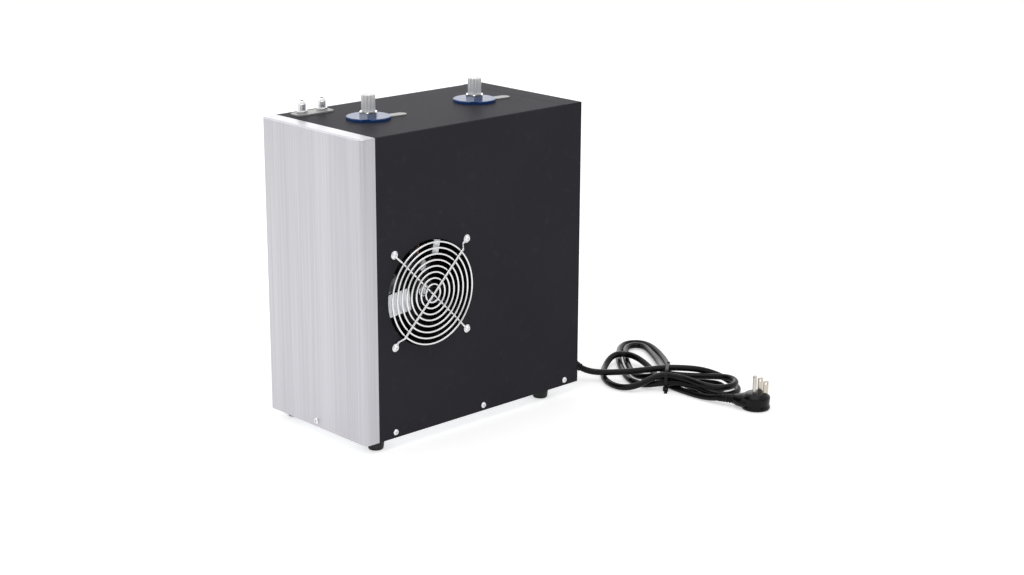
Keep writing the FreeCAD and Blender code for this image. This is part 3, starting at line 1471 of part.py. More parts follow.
def make_lines():
    """The copper lines that join the compressor, the condenser and the evaporator."""
    tail_x = port_x + evaporator_radius
    tail_z = foam_bottom - coil_tail
    front_tail = (tail_x, evaporator_ys[0], tail_z)
    rear_tail = (tail_x, evaporator_ys[-1], tail_z)
    across_z = stub_top + 22
    suction = line_piece("SuctionLine", [
        rear_tail, (tail_x, rear_tail[1], across_z), (*suction_stub, across_z), (*suction_stub, stub_top),
    ], line_radius, 10)
    inlet_y = fan_y + coil_end + coil_tail
    high_z = coil_levels()[0]
    discharge = line_piece("DischargeLine", [
        (coil_x, inlet_y, high_z),
        (coil_x, drier_y + 16, high_z),
        (*discharge_stub, high_z),
        (*discharge_stub, stub_top),
    ], line_radius, 12)
    drier_top = coil_levels()[-1] + drier_rise + 2 * drier_taper + drier_length
    capillary = line_piece("CapillaryTube", [
        (coil_x, drier_y, drier_top),
        (coil_x, drier_y, drier_top + 9),
        (port_x - 6, drier_y - 16, drier_top + 11),
        (tail_x - 6, fan_y + shroud_radius - 6, drier_top + 12),
        (tail_x, fan_y, drier_top + 8),
        (tail_x, evaporator_ys[0], tail_z - 14),
        front_tail,
    ], capillary_radius, 7)
    low_z = inner_top - service_shank
    channel = foam_left - 12
    low_line, _ = route_wire([
        (service_x, service_ys[0], low_z),
        (service_x, service_ys[0], low_z - 18),
        (channel, fan_y, foam_top - 60),
        (channel, compressor_y - 30, foam_bottom),
        (channel + 12, compressor_y + 8, stub_top + 24),
        (*low_service_stub, stub_top + 22),
        (*low_service_stub, stub_top),
    ], 0.45, 12)
    wall_side = channel - 9
    high_line, _ = route_wire([
        (service_x, service_ys[1], low_z),
        (service_x, service_ys[1], low_z - 12),
        (wall_side, fan_y + 20, foam_top - 44),
        (wall_side, compressor_y - 20, foam_bottom),
        (wall_side + 15, compressor_y + 34, stub_top + 20),
        (*high_service_stub, stub_top + 30),
        (*high_service_stub, stub_top),
    ], 0.45, 12)
    service = Part.makeCompound([pipe_along(line, service_line_radius) for line in (low_line, high_line)])
    return suction, discharge, capillary, shaped("ServiceLines", service)


def make_thermostat():
    """The thermostat's box, fixed inside the back."""
    low = (thermostat_x, rear - sheet_wall - thermostat_length, thermostat_z)
    box = block("ThermostatBlank", low, (thermostat_width, thermostat_length, thermostat_height))
    return rounded("Thermostat", box, 2, lambda e: runs_along(e, Y_AXIS))


def make_sensor():
    """The thermostat's bulb in the foam beside the tank, with its fine tube."""
    z = tank_z - bulb_drop
    bulb_x = port_x + tank_radius + tank_seat_gap
    bulb_end = foam_right + bulb_stand_out
    bulb = rod("SensorBulb", (bulb_x, port_ys[1], z), bulb_radius, bulb_end - bulb_x, X_AXIS)
    foot_x = thermostat_x + thermostat_width / 2
    foot_y = rear - sheet_wall - thermostat_length / 2
    foot_z = thermostat_z + thermostat_height
    wire, _ = route_wire([
        (bulb_end - 1, port_ys[1], z),
        (bulb_end + 5, port_ys[1] + 1, z - 2),
        (bulb_end + 6, port_ys[1] + 20, z - 40),
        (foot_x, foot_y, foot_z + 26),
        (foot_x, foot_y, foot_z),
    ], 0.45, 8)
    return fuse("ThermostatSensor", [bulb, shaped("SensorTube", pipe_along(wire, capillary_radius))])


def make_terminal_block():
    """The terminal block on the pan beside the cord's entry."""
    low = (terminal_x, terminal_y, pan_floor)
    box = block("TerminalBlank", low, (terminal_width, terminal_length, terminal_height))
    tools = []
    for i in range(4):
        y = terminal_y + (i + 0.5) * terminal_length / 4
        for j, x in enumerate((terminal_x + 5, terminal_x + terminal_width - 5)):
            well_z = pan_floor + terminal_height - terminal_well
            tools.append(rod(f"TerminalWell{i}{j}", (x, y, well_z), screw_radius, terminal_well + 1))
    return cut("TerminalBlock", box, tools)


def make_loom():
    """The wires inside: the cord's inner end, and a lead to the motor, the relay and the thermostat."""
    middle_x = terminal_x + terminal_width / 2
    middle_y = terminal_y + terminal_length / 2
    height = pan_floor + terminal_height / 2
    crown = pan_floor + terminal_height
    far_end = terminal_y + terminal_length
    sheath, _ = route_wire([
        (cord_x, rear + gland_sheet, cord_z),
        (cord_x, rear - 22, cord_z),
        (middle_x, far_end + 14, height),
        (middle_x, far_end, height),
    ], 0.45, 12)
    motor_x = stator_left + stator_depth / 2
    motor, _ = route_wire([
        (middle_x, terminal_y, height),
        (middle_x, terminal_y - 14, height),
        (motor_x, fan_y + 20, pan_floor + 20),
        (motor_x, fan_y, pan_floor + 34),
        (motor_x, fan_y, fan_z - stator_side / 2),
    ], 0.45, 10)
    relay_x = compressor_x + shell_radius + relay_depth / 2
    relay, _ = route_wire([
        (middle_x, middle_y - 8, crown),
        (middle_x, middle_y - 8, crown + 14),
        (relay_x, relay_y, relay_z - 14),
        (relay_x, relay_y, relay_z),
    ], 0.45, 7)
    box_x = thermostat_x + thermostat_width - 6
    box_y = rear - sheet_wall - thermostat_length + 8
    thermostat, _ = route_wire([
        (middle_x, middle_y + 12, crown),
        (middle_x, middle_y + 12, crown + 26),
        (box_x, box_y, thermostat_z - 40),
        (box_x, box_y, thermostat_z),
    ], 0.45, 14)
    wires = [pipe_along(sheath, cord_radius)]
    wires += [pipe_along(wire, loom_radius) for wire in (motor, relay, thermostat)]
    return shaped("WiringLoom", Part.makeCompound(wires))


def make_gland():
    """The bushing that the cord leaves the back through."""
    length = gland_length + gland_sheet
    barrel = rod("GlandBarrel", (cord_x, rear - gland_length, cord_z), gland_radius, length, Y_AXIS)
    flange = rod("GlandFlange", (cord_x, rear, cord_z), gland_flange, gland_sheet, Y_AXIS)
    bore = rod("GlandBore", (cord_x, rear - gland_length - 1, cord_z), cord_radius, length + 2, Y_AXIS)
    return cut("CordGland", fuse("GlandWhole", [barrel, flange]), [bore])


def cord_spots(points):
    """The cord's own places, which are measured across from the cabinet's middle."""
    return [(mid_x + x, y, z) for x, y, z in points]


def closed_curve(points):
    curve = Part.BSplineCurve()
    curve.interpolate([V(float(mid_x) + x, y, 0) for x, y in points], True)
    return Part.Wire(curve.toShape())


def hank_layer(outline, hole, height):
    solid = Part.Face(closed_curve(outline)).extrude(V(0, 0, float(height)))
    if hole:
        solid = solid.cut(Part.Face(closed_curve(hole)).extrude(V(0, 0, float(height))))
    return solid


def make_tie():
    """The band that holds the hanked cord together."""
    turn = FreeCAD.Rotation(Z_AXIS, TIE_ANGLE)
    pieces = []
    for name, reach, low_z, high_z, width in (
        ("TieOuter", tie_reach, 0, bundle_height + tie_sheet, tie_width),
        ("TieInner", tie_reach - tie_sheet, tie_sheet, bundle_height, tie_width * 3),
    ):
        low = turn.multVec(V(-float(width) / 2, -float(reach), 0))
        piece = doc.addObject("Part::Box", name)
        bind(piece, "Length", width)
        bind(piece, "Width", reach * 2)
        bind(piece, "Height", high_z - low_z)
        place(piece, mid_x + TIE[0] + low.x, TIE[1] + low.y, low_z, turn)
        pieces.append(piece)
    return cut("CordTie", pieces[0], [pieces[1]])


def make_hank(tie):
    """The hanked length as one plain solid: two flat loops and the bundle beside them."""
    loops = [hank_layer(UPPER_LOOP, UPPER_EYE, loop_height), hank_layer(LOW_LOOP, LOW_EYE, loop_height)]
    bundle = hank_layer(BUNDLE, None, bundle_height)
    rough = shaped("HankRough", bundle.multiFuse(loops).removeSplitter())
    return cut("CordHank", rough, [tie])


def make_cord_run(name, points):
    wire, radii = route_wire(cord_spots(points))
    made = shaped(name, pipe_along(wire, cord_radius))
    section = math.pi * float(cord_radius) ** 2
    print(name, "radii", [round(radius, 1) for radius in radii], "length", round(wire.Length, 1))
    print(name, "volume over section times length", round(made.Shape.Volume / (section * wire.Length), 4))
    return made


def make_plug():
    """The moulded plug: a round body that narrows to the cord, lying with its pins up."""
    body = V(float(mid_x) + PLUG[0], PLUG[1], 0)
    neck = V(float(mid_x) + PLUG_NECK[0], PLUG_NECK[1], 0)
    large = float(plug_radius)
    small = float(plug_neck_radius)
    along = (neck - body).normalize()
    across = V(-along.y, along.x, 0)
    lean = math.acos((large - small) / (neck - body).Length)
    corners = []
    for side in (1, -1):
        normal = along * math.cos(lean) + across * (side * math.sin(lean))
        corners.append((body + normal * large, neck + normal * small))
    (body_left, neck_left), (body_right, neck_right) = corners
    edges = [
        Part.LineSegment(body_left, neck_left),
        Part.Arc(neck_left, neck + along * small, neck_right),
        Part.LineSegment(neck_right, body_right),
        Part.Arc(body_right, body - along * large, body_left),
    ]
    solid = Part.Face(Part.Wire([edge.toShape() for edge in edges])).extrude(V(0, 0, float(plug_height)))
    rim = [edge for edge in solid.Edges if at_height(edge, plug_height)]
    solid = solid.makeFillet(float(plug_round), rim)
    blank = shaped("PlugBlank", solid)
    relief_end = (mid_x + RELIEF_END[0], RELIEF_END[1], RELIEF_END[2])
    towards_neck = V(PLUG_NECK[0] - RELIEF_END[0], PLUG_NECK[1] - RELIEF_END[1], 0)
    relief = rod("PlugRelief", relief_end, relief_radius, towards_neck.Length + small / 2, towards_neck)
    return fuse("PlugBody", [blank, relief])


def make_pins():
    """The plug's two flat blades and its round earth pin."""
    turn = FreeCAD.Rotation(Z_AXIS, PIN_ANGLE)
    earth = V(PIN[0], PIN[1], 0)
    toward = turn.multVec(X_AXIS)
    beside = turn.multVec(Y_AXIS)
    straight = earth_height - earth_radius
    pin = rod("EarthPin", (mid_x + earth.x, earth.y, plug_height), earth_radius, straight)
    tip = ball("EarthTip", (mid_x + earth.x, earth.y, plug_height + straight), earth_radius)
    pieces = [fuse("EarthWhole", [pin, tip])]
    for i, side in enumerate((-1, 1)):
        middle = earth + toward * float(earth_offset) + beside * (side * float(blade_gap) / 2)
        low = middle - toward * (float(blade_width) / 2) - beside * (float(blade_thick) / 2)
        blade = doc.addObject("Part::Box", f"PlugBlade{i}")
        bind(blade, "Length", blade_width)
        bind(blade, "Width", blade_thick)
        bind(blade, "Height", blade_height)
        place(blade, mid_x + low.x, low.y, plug_height, turn)
        pieces.append(blade)
    return group("PlugPins", pieces)


# The cord's places on the floor, across from the cabinet's middle and in the part's own depth and height
LEAD = [
    (60, 166, 30), (60, 178, 30), (63, 191, 23), (73, 203, 14.5),
    (90, 214, 12), (107, 229, 12), (125, 243, 13), (147, 259, 13),
]
TAIL = [(221, 252.5, 7), (232.3, 253.25, 9), (244, 256.5, 9)]
TIE = (152, 254)
PLUG = (275, 274)
PLUG_NECK = (253, 259)
RELIEF_END = (244, 256.5, 9)
PIN = (274, 272)
UPPER_LOOP = [
    (153, 238), (136, 225), (117, 226), (99, 232), (80, 244), (59, 259), (39, 276), (21, 295),
    (6, 316), (2, 338), (17, 351), (42, 346), (76, 329), (112, 308), (136, 288),
]
UPPER_EYE = [
    (113, 248), (95, 254), (75, 268), (56, 284), (38, 303), (30, 318),
    (32, 327), (43, 326), (69, 311), (102, 290), (122, 274), (129, 256),
]
LOW_LOOP = [
    (150, 236), (148, 222), (140, 209), (124, 200), (105, 200), (84, 210), (65, 226), (50, 245), (41, 266),
    (40, 285), (54, 298), (78, 298), (104, 289), (130, 275),
]
LOW_EYE = [
    (142, 243), (139, 228), (132, 218), (122, 210), (107, 210), (88, 219), (71, 233), (58, 250), (50, 268),
    (50, 281), (58, 288), (78, 288), (101, 279), (124, 265),
]
BUNDLE = [
    (143, 268), (162, 240), (185, 245), (212, 249), (230, 253), (241, 264),
    (247, 278), (244, 294), (230, 304), (208, 307), (185, 298), (165, 283),
]

tie = make_tie()
suction_line, discharge_line, capillary_tube, service_lines = make_lines()
nodes = {
    "front_panel": make_front_panel(),
    "cabinet_cover": make_cabinet_cover(),
    "rear_panel": make_rear_panel(),
    "base_pan": make_base_pan(),
    "front_rail": make_rail("FrontRail", True),
    "rear_rail": make_rail("RearRail", False),
    "rubber_feet": group("RubberFeet", [make_foot(f"Foot{i}", x, y) for i, (x, y) in enumerate(feet_places)]),
    "foot_screws": screw_group("FootScrews", [(x, y, foot_recess_depth, -Z_AXIS) for x, y in feet_places]),
    "cabinet_screws": screw_group("CabinetScrews", side_screws + front_screws + rear_screws),
    "guard_screws": screw_group("GuardScrews", [(right + eye_height, y, z, X_AXIS) for y, z in guard_spots]),
    "guard_clips": make_guard_clips(),
    "fan_guard": make_guard(),
    "fan_shroud": make_shroud(),
    "fan_bracket": make_bracket(),
    "motor_stator": make_stator(),
    "motor_bells": group("MotorBells", [
        make_bell("MotorBellRear", stator_left - bell_depth, bell_depth, -1),
        make_bell("MotorBellFront", bracket_left, bell_front_depth, 1),
    ]),
    "motor_bearings": make_bearings(),
    "motor_rotor": make_rotor(),
    "fan_shaft": make_shaft(),
    "fan_impeller": make_impeller(),
    "condenser_fins": make_fins(),
    "condenser_tube": make_condenser_tube(),
    "condenser_end_plates": make_end_plates(),
    "port_disc_front": make_port_disc("PortDiscFront", port_ys[0]),
    "port_disc_rear": make_port_disc("PortDiscRear", port_ys[1]),
    "port_tab_front": make_port_tab("PortTabFront", port_ys[0]),
    "port_tab_rear": make_port_tab("PortTabRear", port_ys[1]),
    "port_nuts": make_port_nuts(),
    "port_cap_front": make_port_cap("PortCapFront", port_ys[0]),
    "port_cap_rear": make_port_cap("PortCapRear", port_ys[1]),
    "port_seals": make_port_seals(),
    "water_tank": make_tank(),
    "evaporator_coil": make_evaporator(),
    "foam_lower": make_foam("FoamLower", False),
    "foam_upper": make_foam("FoamUpper", True),
    "foam_straps": make_straps(),
    "service_plate": make_service_plate(),
    "service_fitting_front": make_service_fitting("ServiceFittingFront", service_ys[0]),
    "service_fitting_rear": make_service_fitting("ServiceFittingRear", service_ys[1]),
    "service_nuts": make_service_nuts(),
    "compressor": make_compressor(),
    "compressor_grommets": make_grommets(),
    "compressor_bolts": make_compressor_bolts(),
    "start_relay": make_start_relay(),
    "suction_line": suction_line,
    "discharge_line": discharge_line,
    "filter_drier": make_drier(),
    "capillary_tube": capillary_tube,
    "service_lines": service_lines,
    "thermostat": make_thermostat(),
    "thermostat_sensor": make_sensor(),
    "terminal_block": make_terminal_block(),
    "wiring_loom": make_loom(),
    "cord_gland": make_gland(),
    "cord_lead": make_cord_run("CordLead", LEAD),
    "cord_hank": make_hank(tie),
    "cord_tie": tie,
    "cord_tail": make_cord_run("CordTail", TAIL),
    "plug_body": make_plug(),
    "plug_pins": make_pins(),
}

doc.recompute()
failed = [item.Name for item in doc.Objects if "Invalid" in item.State or "Error" in item.State]
for label, node in nodes.items():
    node.Label = label
    if node.Shape.isNull() or not node.Shape.isValid() or not node.Shape.Solids:
        failed.append(label)
if failed:
    raise RuntimeError("not built: " + ", ".join(failed))

os.makedirs("parts", exist_ok=True)
for label, node in nodes.items():
    node.Shape.exportStep(f"parts/{label}.step")
print(len(nodes), "pieces written")
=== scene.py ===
"""The looks of a water chiller for laboratory apparatus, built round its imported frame."""

import json
import math

import bmesh
import bpy
from mathutils import Matrix, Vector


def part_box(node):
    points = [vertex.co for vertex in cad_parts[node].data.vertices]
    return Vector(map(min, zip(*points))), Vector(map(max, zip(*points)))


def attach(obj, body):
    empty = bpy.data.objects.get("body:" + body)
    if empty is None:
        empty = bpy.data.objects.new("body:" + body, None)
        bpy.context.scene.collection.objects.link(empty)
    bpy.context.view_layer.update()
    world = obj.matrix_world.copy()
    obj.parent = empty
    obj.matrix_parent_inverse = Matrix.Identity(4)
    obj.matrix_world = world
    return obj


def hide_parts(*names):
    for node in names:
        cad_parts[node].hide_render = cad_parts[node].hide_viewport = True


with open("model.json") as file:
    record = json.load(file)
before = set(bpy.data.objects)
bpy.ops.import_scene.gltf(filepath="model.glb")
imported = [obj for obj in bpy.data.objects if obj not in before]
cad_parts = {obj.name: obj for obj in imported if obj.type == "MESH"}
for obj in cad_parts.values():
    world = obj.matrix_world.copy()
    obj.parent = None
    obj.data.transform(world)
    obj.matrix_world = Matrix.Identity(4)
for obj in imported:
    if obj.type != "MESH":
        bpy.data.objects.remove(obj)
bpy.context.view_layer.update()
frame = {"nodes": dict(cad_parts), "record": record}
scene = bpy.context.scene

# A millimetre in metres, and how many millimetres across the cabinet's middle lies in the frame
MM = 0.001
CABINET_X = -2.75
ALONG_X = Vector((1, 0, 0))
ALONG_Y = Vector((0, 1, 0))
UP = Vector((0, 0, 1))

# The camera, as measured in the photograph
CAMERA_PLACE = Vector((1.60185, -1.3809, 0.7606))
CAMERA_RIGHT = Vector((0.68620, 0.72740, 0.00513))
CAMERA_UP = Vector((-0.20713, 0.18863, 0.95996))
CAMERA_AHEAD = Vector((-0.69730, 0.65978, -0.28010))
CAMERA_LENS = 66.455

# The mains cord: its size, and the points of its line across from the cabinet's middle, in millimetres
CORD_WIDTH = 7.7
CORD_EXIT = (60, 166, 30)
LEAD = [
    CORD_EXIT, (60, 177, 29), (63, 189, 19), (72, 201, 11.5),
    (88, 213, 11.5), (106, 228, 13.5), (125, 244, 17), (143, 259, 21),
]
LOW_LOBE = [
    (160, 275, 21.5), (176, 294, 18.5), (192, 309, 11), (211, 310, 5.5), (226, 302, 4.5),
    (233, 285, 4.5), (226, 268, 4.5), (211, 260, 6.5), (194, 258, 11), (172, 249, 11.7),
]
OUTER_LOOP = [
    (156, 241, 9), (139, 229, 4.5), (119, 228, 4), (102, 236, 4), (85, 248, 4), (65, 263, 4),
    (46, 280, 4), (29, 299, 4), (16, 315, 4), (10, 330, 4), (13, 342, 4), (24, 349, 4.5),
    (41, 346, 5), (59, 338, 4.5), (78, 327, 4), (103, 309, 4.5), (121, 292, 5),
]
SHORT_LOBE = [
    (131, 280, 4.6), (138, 269, 4.4), (147, 265, 4.2), (158, 269.5, 4), (169, 280, 4), (180, 292, 4),
    (194, 300, 4), (207, 296, 4), (213, 283, 4), (207, 269, 4), (195, 263, 4), (181, 262, 6.5),
    (167, 258, 10),
]
INNER_LOOP = [
    (152, 251, 12), (137, 246, 11), (115, 243, 6), (96, 252, 4.5), (75, 268, 4.5), (55, 284.5, 4.5),
    (37, 302.5, 5), (26.5, 314, 5), (22, 325, 5), (24.5, 335, 5), (35, 339, 5), (50, 332, 5),
    (73, 317, 6), (104, 295, 7), (124, 276, 11),
]
TOP_LOBE = [
    (137, 264, 13), (148, 263, 13), (160, 270, 13), (174, 281, 13), (191, 294, 14),
    (211, 302, 16), (228, 295, 16), (235, 278, 16), (228, 261, 16), (211, 254, 16.5),
    (190, 254, 18), (170, 248.5, 19.4),
]
NEAR_LOOP = [
    (153, 241, 19), (146, 226, 13), (138, 211, 6.5), (125, 202, 4), (106, 202, 4), (86, 212, 4),
    (70, 227, 4), (58, 243, 5), (51, 258, 10), (49, 271, 12.5), (55, 281, 12.5), (66, 285, 12),
    (82, 285, 9), (103, 278, 6), (123, 265, 4.2),
]
TAIL = [
    (140, 256, 4.2), (157, 250.5, 4.2), (176, 249, 4), (194, 249, 4), (212, 250, 4),
    (228, 252, 6), (236, 254.3, 8.3), (244, 256.5, 9), (252.4, 261.2, 9),
]
CORD_ROUTE = LEAD + LOW_LOBE + OUTER_LOOP + SHORT_LOBE + INNER_LOOP + TOP_LOBE + NEAR_LOOP + TAIL

# The pieces that are made here, in millimetres: the fan's place in the frame, and the tie's, the
# plug's and the pin's across from the cabinet's middle, as the cord's
FAN_X, FAN_Y, FAN_Z = 62.75, -69.5, 170
FAN_BLADES = 5
HUB_RADIUS = 17
BLADE_TIP = 53.6
BLADE_TURN = math.radians(52)
SERVICE_SEAT = 355.4
THREADS = 7
THREAD_PITCH = 1.02
TIE = (152, 254)
TIE_ANGLE = 37.7
PLUG = (275, 274)
PLUG_FACE = 19.6
RELIEF_END = (252.4, 261.2, 9)
PIN = (274, 272)
PIN_ANGLE = 70
CONTACT_TOP = 34.6
CONTACT_HOLE_DOWN = 3.6
CAP_RIBS = 12
CAP_GROOVE = 0.95
CAP_WALL = 0.65

# The studio: the floor's half width in metres, its tone and its glow, and the surround's strength as
# a light and where it is seen
FLOOR_REACH = 20
FLOOR_TONE = 0.8
FLOOR_GLOW = 0.5
SURROUND_LIGHT = 0.62
SURROUND_SEEN = 1.0


def spot(x, y, z):
    """A place in the frame from millimetres across from the cabinet's middle, deep and high."""
    return Vector((x + CABINET_X, y, z)) * MM


class Level:
    """A value that changes over a surface; sums and products of levels become maths nodes."""

    def __init__(self, finish, socket):
        self.finish = finish
        self.socket = socket

    def maths(self, operation, *values):
        return self.finish.node("Math", {"operation": operation}, values)

    def __add__(self, other):
        return self.maths("ADD", self, other)

    __radd__ = __add__

    def __mul__(self, other):
        return self.maths("MULTIPLY", self, other)

    __rmul__ = __mul__

    def above(self, edge, softness):
        """A mask that rises from 0 to 1 as the level passes an edge."""
        return self.finish.node("MapRange", {"interpolation_type": "SMOOTHSTEP"},
                                [self, edge - softness, edge + softness, 0.0, 1.0])


class Finish:
    """A material being made. Its nodes come from one method, and its maths from levels."""

    def __init__(self, name, **constants):
        self.material = bpy.data.materials.new(name)
        self.material.use_nodes = True
        self.tree = self.material.node_tree
        self.shader = self.tree.nodes["Principled BSDF"]
        for socket, value in constants.items():
            title = socket.replace("_", " ").title().replace("Ior", "IOR")
            self.shader.inputs[title].default_value = value
        self.object_place = self.node("TexCoord", output="Object")

    def node(self, kind, settings=None, inputs=(), output=0):
        """Adds a node with its settings and the values or levels of its sockets."""
        made = self.tree.nodes.new("ShaderNode" + kind)
        for name, value in (settings or {}).items():
            setattr(made, name, value)
        pairs = inputs.items() if isinstance(inputs, dict) else enumerate(inputs)
        for place, value in pairs:
            self.feed(made.inputs[place], value)
        return Level(self, made.outputs[output])

    def feed(self, socket, value):
        if isinstance(value, Level):
            self.tree.links.new(value.socket, socket)
        elif isinstance(value, tuple) and len(value) == 3 and socket.type == "RGBA":
            socket.default_value = (*value, 1.0)
        else:
            socket.default_value = value

    def noise(self, scale, detail=2.0, roughness=0.5, stretch=(1, 1, 1)):
        """Noise over object coordinates, which may be stretched."""
        place = self.node("Mapping", {}, {"Vector": self.object_place, "Scale": stretch})
        values = {"Vector": place, "Scale": scale, "Detail": detail, "Roughness": roughness}
        return self.node("TexNoise", {}, values)

    def cells(self, scale, output="Color"):
        return self.node("TexVoronoi", {}, {"Vector": self.object_place, "Scale": scale}, output)

    def blend(self, share, low, high):
        """A colour between two others, by a share."""
        return self.node("Mix", {"data_type": "RGBA"}, {0: share, 6: low, 7: high}, 2)

    def bump(self, height, distance, strength=1.0):
        return self.node("Bump", {}, {"Height": height, "Distance": distance, "Strength": strength})

    def dress(self, **sockets):
        """Feeds the shader's own sockets, and gives the material."""
        for socket, value in sockets.items():
            self.feed(self.shader.inputs[socket.replace("_", " ").title()], value)
        return self.material


def brushed_steel():
    """Sheet steel brushed up and down: fine lines, with broad soft bands."""
    made = Finish("brushed_steel", metallic=1.0)
    lines = made.noise(1.0, 3.0, 0.7, (1700, 1700, 8))
    strokes = made.noise(1.0, 2.0, 0.6, (420, 420, 3.0))
    bands = made.noise(1.0, 1.0, 0.5, (24, 24, 0.5))
    tone = 0.34 * lines + 0.4 * strokes + 0.26 * bands
    colour = made.blend(tone.above(0.5, 0.24), (0.43, 0.425, 0.455), (0.60, 0.595, 0.625))
    return made.dress(
        base_color=colour,
        roughness=0.24 + 0.16 * lines + 0.06 * strokes,
        normal=made.bump(lines, 0.00004),
    )


def black_powder_coat():
    """Black powder paint: a fine even grain, a little greyer where it is worn."""
    made = Finish("black_powder_coat", specular_ior_level=0.02)
    grain = made.noise(1700, 2.0, 0.6)
    swell = made.noise(420, 1.0)
    drift = made.noise(9, 2.0)
    dust = made.noise(60, 4.0, 0.7).above(0.66, 0.12)
    colour = made.blend(drift, (0.032, 0.0315, 0.038), (0.041, 0.04, 0.048))
    return made.dress(
        base_color=made.blend(0.1 * dust, colour, (0.12, 0.115, 0.11)),
        roughness=0.47 + 0.1 * grain + 0.08 * dust,
        normal=made.bump(0.7 * grain + 0.3 * swell, 0.00009, 0.7),
    )


def zinc_plate():
    """Galvanised sheet: pale spangled flakes of zinc."""
    made = Finish("zinc_plate", metallic=1.0)
    flakes = made.node("SeparateColor", {}, [made.cells(170)])
    haze = made.noise(35, 3.0)
    tone = 0.55 * flakes + 0.45 * haze
    return made.dress(
        base_color=made.blend(tone, (0.60, 0.62, 0.65), (0.84, 0.85, 0.87)),
        roughness=0.26 + 0.2 * tone,
        normal=made.bump(flakes, 0.00003, 0.5),
    )


def bright_plating():
    """Polished plating, with faint haze and fine marks."""
    made = Finish("bright_plating", metallic=1.0)
    haze = made.noise(130, 3.0)
    marks = made.noise(2400, 2.0, 0.6, (1, 1, 0.25))
    return made.dress(
        base_color=made.blend(haze, (0.70, 0.70, 0.71), (0.86, 0.86, 0.87)),
        roughness=0.1 + 0.12 * haze + 0.05 * marks,
        normal=made.bump(marks, 0.00001, 0.4),
    )


def moulded_plastic(name, deep, pale, sheen, grain_scale, gloss=0.3):
    """Moulded plastic: a satin face with a fine spark-eroded grain and slow changes of tone."""
    made = Finish(name, specular_ior_level=gloss)
    grain = made.noise(grain_scale, 2.0, 0.6)
    drift = made.noise(45, 2.0)
    return made.dress(
        base_color=made.blend(drift, deep, pale),
        roughness=sheen + 0.12 * grain + 0.08 * drift,
        normal=made.bump(grain, 0.00003, 0.6),
    )


def fin_foil():
    """Thin aluminium foil of the condenser's fins, dulled by handling."""
    made = Finish("fin_foil", metallic=1.0)
    dull = made.noise(70, 4.0, 0.6)
    rolled = made.noise(1.0, 2.0, 0.5, (1200, 1200, 40))
    return made.dress(
        base_color=made.blend(dull, (0.62, 0.63, 0.65), (0.83, 0.84, 0.85)),
        roughness=0.24 + 0.22 * dull + 0.08 * rolled,
        normal=made.bump(rolled, 0.00002),
    )


def drawn_copper():
    """Copper tube: bright where drawn, browner in clouds."""
    made = Finish("drawn_copper", metallic=1.0)
    clouds = made.noise(55, 5.0, 0.6)
    specks = made.noise(600, 2.0)
    tarnish = clouds.above(0.55, 0.16)
    return made.dress(
        base_color=made.blend(tarnish, (0.86, 0.42, 0.26), (0.38, 0.165, 0.095)),
        roughness=0.2 + 0.2 * tarnish + 0.08 * specks,
        normal=made.bump(specks, 0.00002, 0.5),
    )


def sintered_bronze():
    """Porous bronze of a plain bearing."""
    made = Finish("sintered_bronze", metallic=1.0)
    pores = made.noise(2600, 2.0, 0.7)
    oil = made.noise(90, 2.0)
    return made.dress(
        base_color=made.blend(0.6 * pores + 0.4 * oil, (0.32, 0.19, 0.075), (0.62, 0.41, 0.19)),
        roughness=0.34 + 0.2 * pores,
        normal=made.bump(pores, 0.00003),
    )


def milky_plastic():
    """Natural, slightly see-through plastic of the push-on caps."""
    made = Finish("milky_plastic", subsurface_weight=0.35, transmission_weight=0.12, ior=1.5)
    made.shader.inputs["Subsurface Radius"].default_value = (0.004, 0.004, 0.004)
    clouds = made.noise(220, 3.0)
    grain = made.noise(1800, 2.0)
    return made.dress(
        base_color=made.blend(clouds, (0.86, 0.865, 0.865), (0.95, 0.95, 0.94)),
        roughness=0.22 + 0.12 * grain,
        normal=made.bump(grain, 0.00002, 0.5),
    )


def tank_sheet():
    """Pickled stainless sheet of the tank and its stubs."""
    made = Finish("tank_sheet", metallic=1.0)
    turned = made.noise(1.0, 2.0, 0.6, (14, 1300, 1300))
    clouds = made.noise(30, 3.0)
    return made.dress(
        base_color=made.blend(clouds, (0.52, 0.51, 0.50), (0.68, 0.67, 0.66)),
        roughness=0.28 + 0.14 * turned + 0.08 * clouds,
        normal=made.bump(turned, 0.00003),
    )


def closed_foam():
    """Fine closed-cell insulating foam."""
    made = Finish("closed_foam", specular_ior_level=0.25)
    cells = made.cells(950, output="Distance")
    drift = made.noise(18, 3.0)
    return made.dress(
        base_color=made.blend(0.5 * cells + 0.5 * drift, (0.019, 0.019, 0.021), (0.05, 0.05, 0.054)),
        roughness=0.82 + 0.1 * cells,
        normal=made.bump(cells, 0.0003, 0.8),
    )


def shell_enamel():
    """Black enamel of the compressor's shell, with a soft orange-peel surface."""
    made = Finish("shell_enamel", coat_weight=0.35, coat_roughness=0.12)
    peel = made.noise(380, 2.0)
    dust = made.noise(25, 4.0, 0.7).above(0.58, 0.14)
    return made.dress(
        base_color=made.blend(0.2 * dust, (0.012, 0.012, 0.013), (0.12, 0.115, 0.105)),
        roughness=0.28 + 0.1 * peel + 0.2 * dust,
        normal=made.bump(peel, 0.00012, 0.6),
    )


def foot_rubber():
    """Soft matt rubber with a bloom that greys it in places."""
    made = Finish("foot_rubber", specular_ior_level=0.35)
    grain = made.noise(1500, 3.0, 0.6)
    bloom = made.noise(70, 3.0).above(0.56, 0.14)
    return made.dress(
        base_color=made.blend(0.35 * bloom, (0.0075, 0.0075, 0.008), (0.05, 0.05, 0.052)),
        roughness=0.52 + 0.16 * grain,
        normal=made.bump(grain, 0.00006, 0.7),
    )


